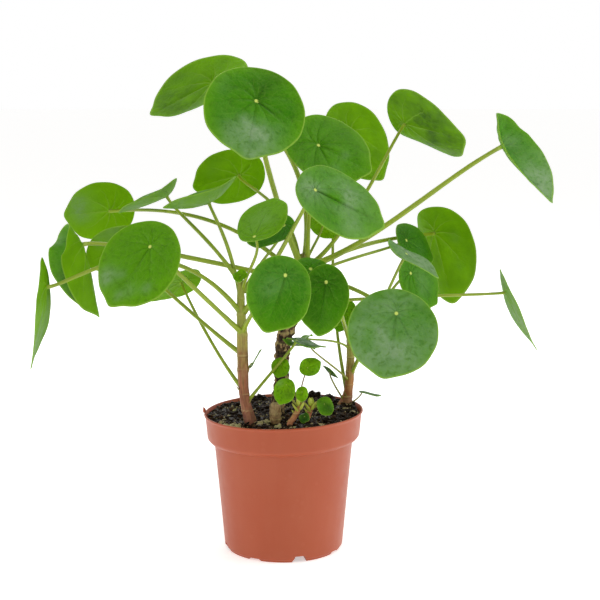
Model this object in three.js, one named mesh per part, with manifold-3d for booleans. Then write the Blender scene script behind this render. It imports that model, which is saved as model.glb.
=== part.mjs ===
// A potted pilea: three main stems, two young shoots and a dry stump in a 12 cm nursery pot.
// Millimetres, +Z up. The origin is the centre of the pot's underside, on the surface it stands on.
// +X is to the right and +Y to the back, as seen from the front.
import * as THREE from "three";
import { mergeVertices } from "three/addons/utils/BufferGeometryUtils.js";
import Module from "manifold-3d";

const wasm = await Module();
wasm.setup();

// ---------------------------------------------------------------- driving dimensions

const GAP = 0.3; // clearance between pieces that touch

const POT = {
  height: 104.6,
  rimRadius: 60,
  collarFootRadius: 57.4,
  collarFootHeight: 86.5,
  shoulderRadius: 52.2,
  shoulderHeight: 82.5,
  bodyFootRadius: 44.8,
  bodyFootHeight: 2.2,
  footRadius: 43.4,
  wall: 1.6,
  floorUnderside: 2.6,
  floorThickness: 2,
  footRingWidth: 5,
  centrePadRadius: 13,
  segments: 36,
  rimLean: 0.028, // the thin rim stands a little higher on the right: rise per mm across
  footCorner: 0.6,
  padBevel: 1.5,
  shoulderRise: 0.9,
  shoulderStep: 3,
  collarCorner: [0.5, 1.2], // each corner: in from the radius, and down from the height
  lipCorner: [1.1, 2.4],
  lipRound: [0.5, 0.8],
};

const NOTCHES = {
  count: 8,
  firstAngle: -73.7, // degrees from +X, the tall one in front
  tallHeight: 4.8,
  lowHeight: 1.6,
  bottomWidth: 11.5,
  topWidth: 7,
  innerRadius: 30,
  outerRadius: 50,
};

const SOIL = {
  level: 102.2,
  mound: 2.2,
  lump: 1.1,
  rings: 5,
  segments: 30,
  clearance: 0.6,
  holeSegments: 24,
  step: 1.8,
  edgeDepth: 2.5,
  edgeShare: 0.25, // the outermost ring of the top stands in from the edge by this share of a ring
  floorHeight: 5,
  lumpShare: 0.625, // brings the sum of the waves back to the lump height
  // each wave of the surface: its size, its turn per mm across and away, and where it starts
  waves: [
    [0.5, 0.31, -0.27, 1.6],
    [0.5, 0.31, 0.27, 0.4],
    [0.6, 0.13, -0.45, 0],
  ],
};

const BLADE = {
  thickness: 1,
  hubShare: 0.38, // share of the blade's length that lies behind the stalk
  segments: 18,
  rings: [0.42, 0.76, 1],
  smallSegments: 12,
  smallRings: [0.5, 1],
  smallLength: 26, // blades shorter than this have the coarser grid
  tipPoint: 0.05, // share of the length that the small point adds
  tipWidth: 13, // degrees of the margin that the small point takes up
  wave: 1.2,
  waveTurns: 3,
  waveStart: 40, // degrees, and more of them for each mm of length, so that no two sizes wave alike
  waveStartPerLength: 7,
};

const PETIOLE = {
  sides: 6,
  steps: 8,
  smallSides: 5,
  smallSteps: 5,
  swell: [1.35, 1, 1, 0.9, 0.8], // share of the stalk's radius, from its root to the blade
  reach: 16, // how far below the blade the petiole turns to meet it
  smallReach: 4,
};

// Stems from the root up: points on the axis, and the radius at each of them.
const STEMS = {
  left: {
    axis: [[-23.6, -36, 72], [-23.6, -36, 104], [-26.4, -34, 114], [-28.6, -30, 128], [-29.3, -27, 152],
      [-29.8, -26.6, 172], [-30.4, -26, 190], [-30.4, -26, 210]],
    radius: [5.2, 5.2, 5, 4.4, 3.8, 3.8, 4.1, 4.1, 4, 3.7, 3.1, 2.6, 1.9],
    sides: 12,
    steps: 14,
  },
  middle: {
    axis: [[-4.9, -6, 72], [-4.9, -6, 105], [-3, -7, 118], [-1, -8, 134], [-0.8, -8, 152], [2.5, -6, 168],
      [8, -4, 184], [12, -3, 202], [15.5, -2, 224]],
    radius: [5.4, 5.4, 5.2, 5, 5.2, 6, 6.2, 6.4, 4.6],
    sides: 12,
    steps: 18,
  },
  right: {
    axis: [[46.7, 15, 90], [46.7, 15, 104], [48, 15.4, 109], [49.6, 16, 117], [50.8, 17, 134],
      [50.8, 19, 156], [49.6, 20, 172]],
    radius: [5, 5.2, 3.4, 3.2, 3, 2.8, 1.8],
    sides: 10,
    steps: 12,
  },
  shoot_front: {
    axis: [[4.8, -44, 82], [4.8, -44, 104], [8, -42.6, 109], [11.6, -41, 116], [12.4, -41, 122]],
    radius: [2.5, 2.5, 2.2, 2, 1.4],
    sides: 8,
    steps: 8,
  },
  shoot_right: {
    axis: [[16.7, -37.1, 82], [16.7, -37.1, 104], [18.4, -36.4, 108], [20.2, -36, 114], [20.8, -36, 119]],
    radius: [2.3, 2.3, 2, 1.8, 1.2],
    sides: 8,
    steps: 8,
  },
  stump: {
    axis: [[-5.8, -34, 82], [-5.8, -34, 103], [-5.4, -33.4, 110], [-5, -33, 118]],
    radius: [4.6, 4.8, 4.4, 3.6],
    sides: 8,
    steps: 6,
  },
};

const ROUGHNESS = { pot: 0.5, soil: 1, leaf: 0.45, stem: 0.6 };

const COLOURS = {
  pot: 0xac5c40,
  soil: 0x2a211b,
  leaf: 0x3f7d2c,
  youngLeaf: 0x5f9a2a,
  left: 0x8a6a3c,
  middle: 0x5b4632,
  right: 0x9a6a3e,
  stump: 0xa88f66,
  shoot: 0xb06a48,
};

// One row for each leaf.
// stem, from: the stem and the point on it where the leaf's stalk starts
// leave: the way and length in which the stalk sets out
// hub: where the stalk meets the blade
// size: blade length and width
// faces: where the upper face looks. Heading 0 is the front, 90 the right, 180 the back. Rise 90 is up
// tip: where the blade's tip points, turned from straight down the slope to the right as seen on its face
// stalk: the stalk's thickness. reach: the length of its turn up into the blade
// dish: how far the margin stands above the hub. wave: how far the margin waves up and down
// bends: [direction from the hub, distance where the bend starts, length it takes, angle]
const LEAVES = [
  // the tall leaves of the middle stem
  { name: "leaf_top_back_left", stem: "middle", from: [16, -1, 218], leave: [14, 20, 100],
    hub: [-57, 80, 350.5], size: [82, 78], faces: [-138, 52], tip: 40, stalk: 3.6,
    bends: [[90, 14, 16, 26]] },
  { name: "leaf_top_front", stem: "middle", from: [13, -4, 216], leave: [-18, -6, 40],
    hub: [-17.4, -60, 336], size: [68, 71], faces: [14, 26], tip: -15, stalk: 3.8 },
  { name: "leaf_upper_left_back", stem: "middle", from: [12, 1, 210], leave: [0, 6, 52],
    hub: [-35.4, 60, 278.5], size: [55, 53], faces: [-168, 32], tip: 72, stalk: 2.6 },
  { name: "leaf_far_left_back", stem: "middle", from: [10, 0, 206], leave: [-62, 10, 66],
    hub: [-139.4, 80, 249], size: [55, 51], faces: [-159, 19], tip: 85, stalk: 3, reach: 8 },
  { name: "leaf_far_left_folded", stem: "middle", from: [10, -5, 204], leave: [-40, 0, 9],
    hub: [-146.6, -20, 232], size: [70, 76], faces: [-68, -18], tip: 0, hubShare: 0.26, stalk: 3.6,
    bends: [[90, 1, 9, 41], [-90, 1, 8, 45], [180, 2, 10, 26], [0, 5, 20, 6]] },
  { name: "leaf_upper_middle", stem: "middle", from: [18, -3, 218], leave: [0, -4, 34],
    hub: [26, -10, 304], size: [64, 60], faces: [16, 38], tip: 55, stalk: 3 },
  { name: "leaf_top_right_back", stem: "middle", from: [18, 1, 214], leave: [30, 10, 16],
    hub: [94, 55, 318.6], size: [68, 76], faces: [128, 40], tip: -75, hubShare: 0.22, stalk: 2.8,
    bends: [[-90, 8, 14, 28]] },
  { name: "leaf_far_right_top", stem: "middle", from: [17, -3, 214], leave: [44, -4, 12],
    hub: [158.8, -20, 304], size: [75, 62], faces: [64, 28], tip: 0, hubShare: 0.32, stalk: 3.8,
    reach: 50, bends: [[90, 0, 8, 18], [-90, 0, 8, 30], [180, 2, 12, 28], [0, 2, 14, 16]] },
  { name: "leaf_right_back", stem: "middle", from: [17, 0, 210], leave: [42, 16, 26],
    hub: [119.6, 70, 232], size: [75, 76], faces: [133, 6], tip: -15, hubShare: 0.28, stalk: 3.2,
    bends: [[-90, 2, 14, 30]] },
  { name: "leaf_right_upper", stem: "middle", from: [17, -4, 206], leave: [24, 4, 14],
    hub: [94.2, 36, 229.6], size: [42, 38], faces: [52, 30], tip: 55, hubShare: 0.3, stalk: 2.4 },
  { name: "leaf_right_front", stem: "middle", from: [13, -6, 196], leave: [20, -20, 26],
    hub: [78, -90, 193], size: [59.5, 62], faces: [-5, 15], tip: -10, hubShare: 0.28, stalk: 3 },
  { name: "leaf_far_right_low", stem: "middle", from: [8, -3, 186], leave: [60, 16, 4],
    hub: [170.8, 30, 190.5], size: [67, 45], faces: [93, 24], tip: 0, hubShare: 0.27, stalk: 2.6,
    reach: 5, bends: [[180, 0, 10, 14], [0, 5, 20, 5]] },
  { name: "leaf_middle_back", stem: "middle", from: [16, 1, 212], leave: [2, 20, 10],
    hub: [30.8, 26, 246], size: [31, 28], faces: [172, 40], tip: -20, stalk: 2 },
  { name: "leaf_crown_front", stem: "middle", from: [14, -7, 200], leave: [1, -14, 6],
    hub: [20, -44, 217.5], size: [28, 26], faces: [10, 42], tip: 10, stalk: 1.8, reach: 8 },

  // the left stem
  { name: "leaf_left_flat", stem: "left", from: [-30, -26, 190], leave: [-8, 8, 44],
    hub: [-55, 0, 261.6], size: [57, 48], faces: [-97, 68], tip: 30, hubShare: 0.46, dish: 9,
    stalk: 2.8 },
  { name: "leaf_left_back_flat", stem: "left", from: [-30.2, -25.6, 204], leave: [-22, 6, 34],
    hub: [-90, 40, 263.6], size: [50, 46], faces: [-92, 62], tip: 0, hubShare: 0.27, dish: 7,
    stalk: 2.8 },
  { name: "leaf_left_front", stem: "left", from: [-29, -27, 168], leave: [-14, -14, 16],
    hub: [-90, -80, 237.6], size: [65, 66], faces: [-28, 31], tip: -20, hubShare: 0.29, stalk: 3.2 },
  { name: "leaf_left_behind", stem: "left", from: [-29, -26, 152], leave: [-22, 8, 14],
    hub: [-122.6, 20, 227.5], size: [46, 42], faces: [-150, 30], tip: 60, stalk: 2.8 },
  { name: "leaf_left_low_back", stem: "left", from: [-28.4, -30, 126], leave: [-22, 8, 26],
    hub: [-79.6, 40, 196.8], size: [44, 38], faces: [-149, 47], tip: 45, stalk: 2.4, reach: 12 },
  { name: "leaf_far_left_low", stem: "left", from: [-29.6, -26, 182], leave: [-56, -26, 80],
    hub: [-166, -60, 207], size: [77, 60], faces: [-88, 4], tip: 0, hubShare: 0.27, stalk: 3,
    bends: [[0, 5, 30, 10], [180, 2, 12, 20]] },
  { name: "leaf_centre_young", stem: "left", from: [-29, -26, 200], leave: [2, -10, 14],
    hub: [-18.6, -80, 244.4], size: [42, 38], faces: [-35, 48], tip: -175, hubShare: 0.14,
    stalk: 2.2 },
  { name: "leaf_centre_young_back", stem: "left", from: [-28, -25, 198], leave: [4, -4, 16],
    hub: [1.4, -50, 249], size: [35, 32], faces: [-30, 52], tip: -50, hubShare: 0.22, stalk: 2,
    reach: 8 },
  { name: "leaf_centre_front", stem: "left", from: [-29, -28, 170], leave: [8, -20, 20],
    hub: [3, -120, 223], size: [50, 45], faces: [20, 12], tip: -25, hubShare: 0.25, stalk: 2.8 },
  { name: "leaf_upper_front", stem: "left", from: [-28, -27, 184], leave: [14, -14, 20],
    hub: [23, -90, 277], size: [64, 60], faces: [35, 41], tip: 50, hubShare: 0.22, stalk: 3 },
  { name: "leaf_left_top_young", stem: "left", from: [-30.4, -26, 204], leave: [0, -2, 3],
    hub: [-30, -45, 213], size: [9.5, 10.5], faces: [-10, 38], tip: 20, dish: 1.8, stalk: 1.6,
    reach: 3 },
  { name: "leaf_left_low_centre", stem: "left", from: [-26.8, -32.6, 117], leave: [10, 1, 14],
    hub: [10, -28, 163.1], size: [29, 18], faces: [84, 77], tip: 0, hubShare: 0.27, stalk: 2.2,
    reach: 4 },
  { name: "leaf_left_sliver", stem: "left", from: [-28.6, -28, 137], leave: [3, 0, 4],
    hub: [-22, -28, 146], size: [16, 9], faces: [90, -30], tip: -176, hubShare: 0.24, wave: 0.3,
    stalk: 1.2, reach: 1.5 },

  // the right stem
  { name: "leaf_upper_right_back", stem: "right", from: [49, 17, 112], leave: [-22, 4, 100],
    hub: [53.4, 92, 310.4], size: [68, 68], faces: [135, 22], tip: -25, stalk: 2.2 },
  { name: "leaf_centre_right_front", stem: "right", from: [50.6, 18, 154], leave: [-6, -20, 16],
    hub: [30.4, -80, 213], size: [48, 37], faces: [-25, 10], tip: -5, hubShare: 0.26, stalk: 2.8 },
  { name: "leaf_right_edge", stem: "right", from: [50.6, 17, 127], leave: [10, -8, 22],
    hub: [88, -45, 228.5], size: [43, 32], faces: [70, 57], tip: 0, stalk: 2.4 },
  { name: "leaf_right_middle", stem: "right", from: [51, 18, 140], leave: [10, -4, 20],
    hub: [94.4, -6, 209.6], size: [46, 36], faces: [45, 15], tip: 45, hubShare: 0.28, stalk: 2.4 },
  { name: "leaf_right_low_centre", stem: "right", from: [49.6, 16, 124], leave: [-4, -8, 8],
    hub: [20.6, -18, 156.8], size: [24, 16], faces: [90, 78], tip: 180, hubShare: 0.15, stalk: 1.4,
    reach: 3 },
  { name: "leaf_right_low_back", stem: "right", from: [50.4, 18, 148], leave: [-8, -12, 12],
    hub: [16.8, -6, 161.4], size: [14, 10], faces: [-90, 70], tip: 20, hubShare: 0.4, stalk: 1.6,
    reach: 3 },
  { name: "leaf_right_top_young", stem: "right", from: [49.6, 20, 166], leave: [0, -2, 3],
    hub: [46, 12, 178.6], size: [25, 21], faces: [-20, 20], tip: -10, stalk: 1.6, reach: 3 },
  { name: "leaf_right_sliver", stem: "right", from: [47.4, 15, 107], leave: [-5, -3, 8],
    hub: [35.5, 6, 133], size: [15, 11], faces: [120, 45], tip: -20, hubShare: 0.5, wave: 0.3,
    stalk: 1.4, reach: 3 },
  { name: "leaf_right_rim", stem: "right", from: [47.4, 15, 105.5], leave: [6, 2, 1],
    hub: [60, 20, 114.2], size: [17, 8], faces: [88, 79], tip: 0, hubShare: 0.14, wave: 0.3,
    stalk: 1.2, reach: 3 },

  // the two young shoots
  { name: "leaf_shoot_front_large", stem: "shoot_front", from: [11.6, -41, 117], leave: [-6, -2, 4],
    hub: [2.7, -51, 135], size: [19, 16], faces: [-12, 22], tip: -12, hubShare: 0.26, stalk: 1.4 },
  { name: "leaf_shoot_front_back", stem: "shoot_front", from: [12, -40.6, 119], leave: [-4, 6, 8],
    hub: [-1.3, -28, 145], size: [15, 14], faces: [-14, 20], tip: -10, stalk: 1.2 },
  { name: "leaf_shoot_front_tall", stem: "shoot_front", from: [12.2, -41, 120], leave: [0, 1, 10],
    hub: [18, -36, 144.5], size: [16, 14], faces: [10, 24], tip: 110, stalk: 1 },
  { name: "leaf_shoot_front_young", stem: "shoot_front", from: [12.4, -41, 121], leave: [0, -1, 2],
    hub: [14, -45, 128.5], size: [11, 9], faces: [4, 20], tip: -4, stalk: 1, reach: 1.5 },
  { name: "leaf_shoot_right_large", stem: "shoot_right", from: [20, -36, 114], leave: [4, 0, 2],
    hub: [30, -40, 118.5], size: [14, 13], faces: [16, 30], tip: 20, stalk: 1 },
  { name: "leaf_shoot_right_low", stem: "shoot_right", from: [20.2, -36, 111], leave: [-2, -2, 0],
    hub: [15.8, -45, 110.4], size: [8, 7.5], faces: [-10, 34], tip: 0, stalk: 1, reach: 2 },
];

// ---------------------------------------------------------------- solids and their joints

const rad = THREE.MathUtils.degToRad;
const vec = (p) => new THREE.Vector3(p[0], p[1], p[2]);

// A closed geometry as a solid that can be joined and cut.
function toSolid(geometry) {
  const bare = geometry.index ? geometry.toNonIndexed() : geometry.clone();
  bare.deleteAttribute("normal");
  bare.deleteAttribute("uv");
  const merged = mergeVertices(bare, 1e-4);
  const mesh = new wasm.Mesh({
    numProp: 3,
    vertProperties: merged.attributes.position.array,
    triVerts: new Uint32Array(merged.index.array),
  });
  return new wasm.Manifold(mesh);
}

function toGeometry(solid) {
  const mesh = solid.getMesh();
  const positions = new Float32Array(mesh.numVert * 3);
  for (let i = 0; i < mesh.numVert; i++) {
    const start = i * mesh.numProp;
    positions.set(mesh.vertProperties.subarray(start, start + 3), i * 3);
  }
  const geometry = new THREE.BufferGeometry();
  geometry.setAttribute("position", new THREE.BufferAttribute(positions, 3));
  geometry.setIndex(new THREE.BufferAttribute(mesh.triVerts, 1));
  geometry.computeVertexNormals();
  return geometry;
}

// Numbered rings of points, joined by quads, with both ends closed to a centre point.
function closedRings(rings, startPoint, endPoint) {
  const sides = rings[0].length;
  const positions = [];
  const faces = [];
  rings.flat().forEach((p) => positions.push(p.x, p.y, p.z));
  const startIndex = rings.length * sides;
  const endIndex = startIndex + 1;
  positions.push(startPoint.x, startPoint.y, startPoint.z, endPoint.x, endPoint.y, endPoint.z);
  for (let side = 0; side < sides; side++) {
    const next = (side + 1) % sides;
    faces.push(startIndex, next, side);
    for (let ring = 0; ring < rings.length - 1; ring++) {
      const low = ring * sides;
      const high = low + sides;
      faces.push(low + side, low + next, high + next);
      faces.push(low + side, high + next, high + side);
    }
    const last = (rings.length - 1) * sides;
    faces.push(endIndex, last + side, last + next);
  }
  const geometry = new THREE.BufferGeometry();
  geometry.setAttribute("position", new THREE.Float32BufferAttribute(positions, 3));
  geometry.setIndex(faces);
  geometry.computeVertexNormals();
  return geometry;
}

// A round rod along a curve, whose radius follows radiusAt(share of the length).
function rod(curve, radiusAt, sides, steps) {
  const frames = curve.computeFrenetFrames(steps, false);
  const rings = [];
  for (let step = 0; step <= steps; step++) {
    const share = step / steps;
    const centre = curve.getPointAt(share);
    const ring = [];
    for (let side = 0; side < sides; side++) {
      const angle = (side / sides) * 2 * Math.PI;
      const across = frames.normals[step].clone().multiplyScalar(Math.cos(angle));
      across.addScaledVector(frames.binormals[step], Math.sin(angle));
      ring.push(centre.clone().addScaledVector(across, radiusAt(share)));
    }
    rings.push(ring);
  }
  return closedRings(rings, curve.getPointAt(0), curve.getPointAt(1));
}

// A value between the entries of a list, for a share of its length.
function between(list, share) {
  const place = share * (list.length - 1);
  const below = Math.min(Math.floor(place), list.length - 2);
  return THREE.MathUtils.lerp(list[below], list[below + 1], place - below);
}

// ---------------------------------------------------------------- leaves

// The blade's own directions: across to the right, along to the tip, and up out of its upper face.
function bladeAxes(leaf) {
  const [heading, rise] = leaf.faces.map(rad);
  const level = Math.cos(rise);
  const up = new THREE.Vector3(Math.sin(heading) * level, -Math.cos(heading) * level, Math.sin(rise));
  const downhill = new THREE.Vector3(0, 0, -1).addScaledVector(up, up.z).normalize();
  const right = downhill.clone().negate().cross(up);
  const along = downhill.multiplyScalar(Math.cos(rad(leaf.tip)));
  along.addScaledVector(right, Math.sin(rad(leaf.tip)));
  const across = along.clone().cross(up);
  return { across, along, up };
}

// Rolls the part of the blade past a line up towards its upper face, without stretching it.
function bend(point, [direction, start, length, angle]) {
  const away = Math.sin(rad(direction));
  const ahead = Math.cos(rad(direction));
  const past = point.x * away + point.y * ahead - start;
  if (past <= 0) return point;
  const side = point.x * ahead - point.y * away;
  const curve = length / rad(angle);
  const turned = rad(angle) * Math.min(past / length, 1);
  const straight = Math.max(past - length, 0);
  const reach = (curve - point.z) * Math.sin(turned) + straight * Math.cos(turned) + start;
  const lift = curve - (curve - point.z) * Math.cos(turned) + straight * Math.sin(turned);
  return new THREE.Vector3(reach * away + side * ahead, reach * ahead - side * away, lift);
}

// A point of the blade: share of the way from the hub to the margin, and the angle round it.
function bladePoint(leaf, share, turn, height) {
  const [length, width] = leaf.size;
  const fromTip = THREE.MathUtils.euclideanModulo(turn - 90 + 180, 360) - 180;
  const point = BLADE.tipPoint * length * Math.exp(-((fromTip / BLADE.tipWidth) ** 2));
  const x = (width / 2) * Math.cos(rad(turn));
  const ahead = (0.5 - (leaf.hubShare ?? BLADE.hubShare)) * length + point;
  const y = (length / 2) * Math.sin(rad(turn)) + ahead;
  const dish = (leaf.dish ?? 0) * share ** 2;
  const phase = BLADE.waveTurns * turn + BLADE.waveStart + BLADE.waveStartPerLength * length;
  const wave = (leaf.wave ?? BLADE.wave) * share ** 3 * Math.sin(rad(phase));
  const flat = new THREE.Vector3(x * share, y * share, dish + wave + height);
  return (leaf.bends ?? []).reduce(bend, flat);
}

// Both faces have the same grid, so the blade keeps its thickness where it waves and bends.
function bladeGeometry(leaf) {
  const small = leaf.size[0] < BLADE.smallLength;
  const segments = small ? BLADE.smallSegments : BLADE.segments;
  const shares = small ? BLADE.smallRings : BLADE.rings;
  const half = BLADE.thickness / 2;
  const ringAt = (share, height) =>
    Array.from({ length: segments }, (_, i) => bladePoint(leaf, share, (i / segments) * 360, height));
  const under = shares.map((share) => ringAt(share, -half));
  const upper = shares.map((share) => ringAt(share, half)).reverse();
  return closedRings([...under, ...upper], bladePoint(leaf, 0, 0, -half), bladePoint(leaf, 0, 0, half));
}

function bladeMesh(leaf) {
  const { across, along, up } = bladeAxes(leaf);
  const mesh = new THREE.Mesh(bladeGeometry(leaf), leafMaterial(leaf));
  mesh.name = leaf.name;
  mesh.quaternion.setFromRotationMatrix(new THREE.Matrix4().makeBasis(across, along, up));
  mesh.position.copy(vec(leaf.hub));
  return mesh;
}

// The stalk runs from inside the stem to just under the blade.
function petiole(leaf) {
  const { up } = bladeAxes(leaf);
  const clear = BLADE.thickness / 2 + GAP;
  const end = vec(leaf.hub).addScaledVector(up, -clear);
  const small = leaf.size[0] < BLADE.smallLength;
  const reach = leaf.reach ?? (small ? PETIOLE.smallReach : PETIOLE.reach);
  const start = vec(leaf.from);
  const curve = new THREE.CubicBezierCurve3(
    start,
    start.clone().add(vec(leaf.leave)),
    end.clone().addScaledVector(up, -reach),
    end,
  );
  const radius = leaf.stalk / 2;
  const radiusAt = (share) => radius * between(PETIOLE.swell, share);
  return small
    ? rod(curve, radiusAt, PETIOLE.smallSides, PETIOLE.smallSteps)
    : rod(curve, radiusAt, PETIOLE.sides, PETIOLE.steps);
}

// ---------------------------------------------------------------- stems

function stemRod(stem) {
  const curve = new THREE.CatmullRomCurve3(stem.axis.map(vec), false, "centripetal");
  return rod(curve, (share) => between(stem.radius, share), stem.sides, stem.steps);
}

function stemMesh(name, stem) {
  const stalks = LEAVES.filter((leaf) => leaf.stem === name).map(petiole);
  const solid = stalks.reduce((whole, stalk) => whole.add(toSolid(stalk)), toSolid(stemRod(stem)));
  const mesh = new THREE.Mesh(toGeometry(solid), stemMaterial(name));
  mesh.name = name === "stump" ? "dry_stump" : `stem_${name}`;
  return mesh;
}

// ---------------------------------------------------------------- pot and soil

// The thin rim leans, so heights rise a little to the right, in step with the height.
function lean(geometry) {
  const positions = geometry.attributes.position;
  for (let i = 0; i < positions.count; i++) {
    const rise = (POT.rimLean * positions.getX(i) * positions.getZ(i)) / POT.height;
    positions.setZ(i, positions.getZ(i) + rise);
  }
  return geometry;
}

function turned(profile, segments) {
  const points = profile.map(([radius, height]) => new THREE.Vector2(radius, height));
  return new THREE.LatheGeometry(points, segments).rotateX(Math.PI / 2);
}

function potProfile() {
  const { wall, floorUnderside, footRadius, footRingWidth, padBevel } = POT;
  const { collarCorner, lipCorner, lipRound } = POT;
  const floorTop = floorUnderside + POT.floorThickness;
  const innerRim = POT.rimRadius - wall;
  const innerShoulder = POT.shoulderRadius - wall;
  return [
    [0, 0],
    [POT.centrePadRadius, 0],
    [POT.centrePadRadius + padBevel, floorUnderside],
    [footRadius - footRingWidth - padBevel, floorUnderside],
    [footRadius - footRingWidth, 0],
    [footRadius, 0],
    [footRadius, POT.bodyFootHeight - POT.footCorner],
    [POT.bodyFootRadius, POT.bodyFootHeight],
    [POT.shoulderRadius, POT.shoulderHeight],
    [POT.shoulderRadius + POT.shoulderStep, POT.shoulderHeight + POT.shoulderRise],
    [POT.collarFootRadius - collarCorner[0], POT.collarFootHeight - collarCorner[1]],
    [POT.collarFootRadius, POT.collarFootHeight],
    [POT.rimRadius - lipCorner[0], POT.height - lipCorner[1]],
    [POT.rimRadius, POT.height - lipRound[1]],
    [POT.rimRadius - lipRound[0], POT.height],
    [innerRim + lipRound[0], POT.height],
    [innerRim - lipCorner[0], POT.height - lipCorner[1]],
    [POT.collarFootRadius - wall, POT.collarFootHeight + wall / 2],
    [innerShoulder + wall / 2, POT.shoulderHeight + wall],
    [innerShoulder, POT.shoulderHeight],
    [POT.bodyFootRadius - wall, floorTop],
    [0, floorTop],
  ];
}

// A wedge across the foot ring that lets water out, open to the soil behind the ring.
function notchCutter(angle, height) {
  const { bottomWidth, topWidth, innerRadius, outerRadius } = NOTCHES;
  const outline = new THREE.Shape();
  outline.moveTo(-bottomWidth / 2, -GAP);
  outline.lineTo(bottomWidth / 2, -GAP);
  outline.lineTo(topWidth / 2, height);
  outline.lineTo(-topWidth / 2, height);
  const depth = outerRadius - innerRadius;
  const cutter = new THREE.ExtrudeGeometry(outline, { depth, bevelEnabled: false });
  cutter.rotateX(Math.PI / 2);
  cutter.rotateZ(Math.PI / 2);
  cutter.translate(innerRadius, 0, 0);
  cutter.rotateZ(rad(angle));
  return cutter;
}

function potMesh() {
  let solid = toSolid(turned(potProfile(), POT.segments));
  for (let i = 0; i < NOTCHES.count; i++) {
    const height = i % 2 === 0 ? NOTCHES.tallHeight : NOTCHES.lowHeight;
    const cutter = notchCutter(NOTCHES.firstAngle + (i * 360) / NOTCHES.count, height);
    solid = solid.subtract(toSolid(cutter));
  }
  const mesh = new THREE.Mesh(lean(toGeometry(solid)), material(COLOURS.pot, ROUGHNESS.pot));
  mesh.name = "pot";
  return mesh;
}

// Lumps of the soil's surface: a fixed sum of waves.
function soilHeight(x, y) {
  const radius = Math.hypot(x, y) / POT.rimRadius;
  const waveAt = ([size, across, away, start]) => size * Math.sin(x * across + y * away + start);
  const lumps = SOIL.waves.map(waveAt);
  const lump = SOIL.lump * SOIL.lumpShare * lumps.reduce((sum, one) => sum + one);
  return SOIL.level + SOIL.mound * (1 - radius ** 2) + lump;
}

function soilMesh() {
  const clear = POT.wall + GAP;
  const side = [
    [POT.bodyFootRadius - clear, SOIL.floorHeight],
    [POT.shoulderRadius - clear, POT.shoulderHeight + SOIL.step],
    [POT.collarFootRadius - clear - GAP, POT.collarFootHeight + POT.wall],
    [POT.rimRadius - clear - SOIL.step, SOIL.level - SOIL.edgeDepth],
  ];
  const topRadius = side.at(-1)[0];
  const ring = (radius, heightAt) =>
    Array.from({ length: SOIL.segments }, (_, i) => {
      const angle = (i / SOIL.segments) * 2 * Math.PI;
      const x = radius * Math.cos(angle);
      const y = radius * Math.sin(angle);
      return new THREE.Vector3(x, y, heightAt(x, y));
    });
  const rings = side.map(([radius, height]) => ring(radius, () => height));
  for (let i = SOIL.rings; i > 0; i--) {
    rings.push(ring((topRadius * i) / (SOIL.rings + SOIL.edgeShare), soilHeight));
  }
  const bottom = new THREE.Vector3(0, 0, SOIL.floorHeight);
  const top = new THREE.Vector3(0, 0, soilHeight(0, 0));
  let solid = toSolid(lean(closedRings(rings, bottom, top)));
  for (const stem of Object.values(STEMS)) {
    solid = solid.subtract(toSolid(soilHole(stem)));
  }
  const mesh = new THREE.Mesh(toGeometry(solid), material(COLOURS.soil, ROUGHNESS.soil));
  mesh.name = "soil";
  return mesh;
}

// A plain round hole that a stem stands in, a little wider than the stem.
function soilHole(stem) {
  const [x, y, foot] = stem.axis[0];
  const radius = Math.max(...stem.radius.slice(0, 2)) + SOIL.clearance;
  const top = 2 * POT.height;
  const hole = new THREE.CylinderGeometry(radius, radius, top - foot + GAP, SOIL.holeSegments);
  return hole.rotateX(Math.PI / 2).translate(x, y, (top + foot - GAP) / 2);
}

// ---------------------------------------------------------------- colours

function material(color, roughness) {
  return new THREE.MeshStandardMaterial({ color, roughness, metalness: 0 });
}

function leafMaterial(leaf) {
  const young = leaf.size[0] < BLADE.smallLength;
  return material(young ? COLOURS.youngLeaf : COLOURS.leaf, ROUGHNESS.leaf);
}

function stemMaterial(name) {
  return material(COLOURS[name] ?? COLOURS.shoot, ROUGHNESS.stem);
}

// ---------------------------------------------------------------- the whole plant

const plant = new THREE.Group();
plant.add(potMesh(), soilMesh());
for (const [name, stem] of Object.entries(STEMS)) {
  plant.add(stemMesh(name, stem));
}
LEAVES.forEach((leaf) => plant.add(bladeMesh(leaf)));

export default plant;
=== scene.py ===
"""A potted pilea: round leaves on long stalks, bare stems, dark soil and a moulded nursery pot.

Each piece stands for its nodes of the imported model. Tables are in millimetres, and the scene is in metres.
"""

import math

import bmesh
import bpy
import numpy as np
from bpy.props import FloatProperty, FloatVectorProperty, IntProperty, PointerProperty
from bpy.types import Operator, Panel, PropertyGroup
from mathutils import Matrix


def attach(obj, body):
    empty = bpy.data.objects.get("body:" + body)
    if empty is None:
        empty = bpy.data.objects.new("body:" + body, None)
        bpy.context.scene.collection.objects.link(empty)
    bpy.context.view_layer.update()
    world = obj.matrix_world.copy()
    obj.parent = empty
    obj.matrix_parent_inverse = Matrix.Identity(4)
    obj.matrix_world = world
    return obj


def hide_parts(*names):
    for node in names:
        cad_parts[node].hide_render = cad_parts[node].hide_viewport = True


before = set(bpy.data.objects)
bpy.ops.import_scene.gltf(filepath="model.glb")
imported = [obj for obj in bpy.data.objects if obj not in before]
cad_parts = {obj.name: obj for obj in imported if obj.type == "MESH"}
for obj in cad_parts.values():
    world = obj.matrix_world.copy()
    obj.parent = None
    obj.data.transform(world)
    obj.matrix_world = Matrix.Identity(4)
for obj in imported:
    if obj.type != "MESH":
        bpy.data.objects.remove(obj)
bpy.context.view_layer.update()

bl_info = {
    "name": "Potted Pilea",
    "version": (1, 0, 0),
    "blender": (4, 5, 0),
    "location": "View3D > Sidebar > Pilea",
    "description": "Builds a potted pilea with its pot, soil, stems and leaves",
    "category": "Object",
}

MM = 0.001
BODY = "root"

# ---------------------------------------------------------------- sizes shared with the model

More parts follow.
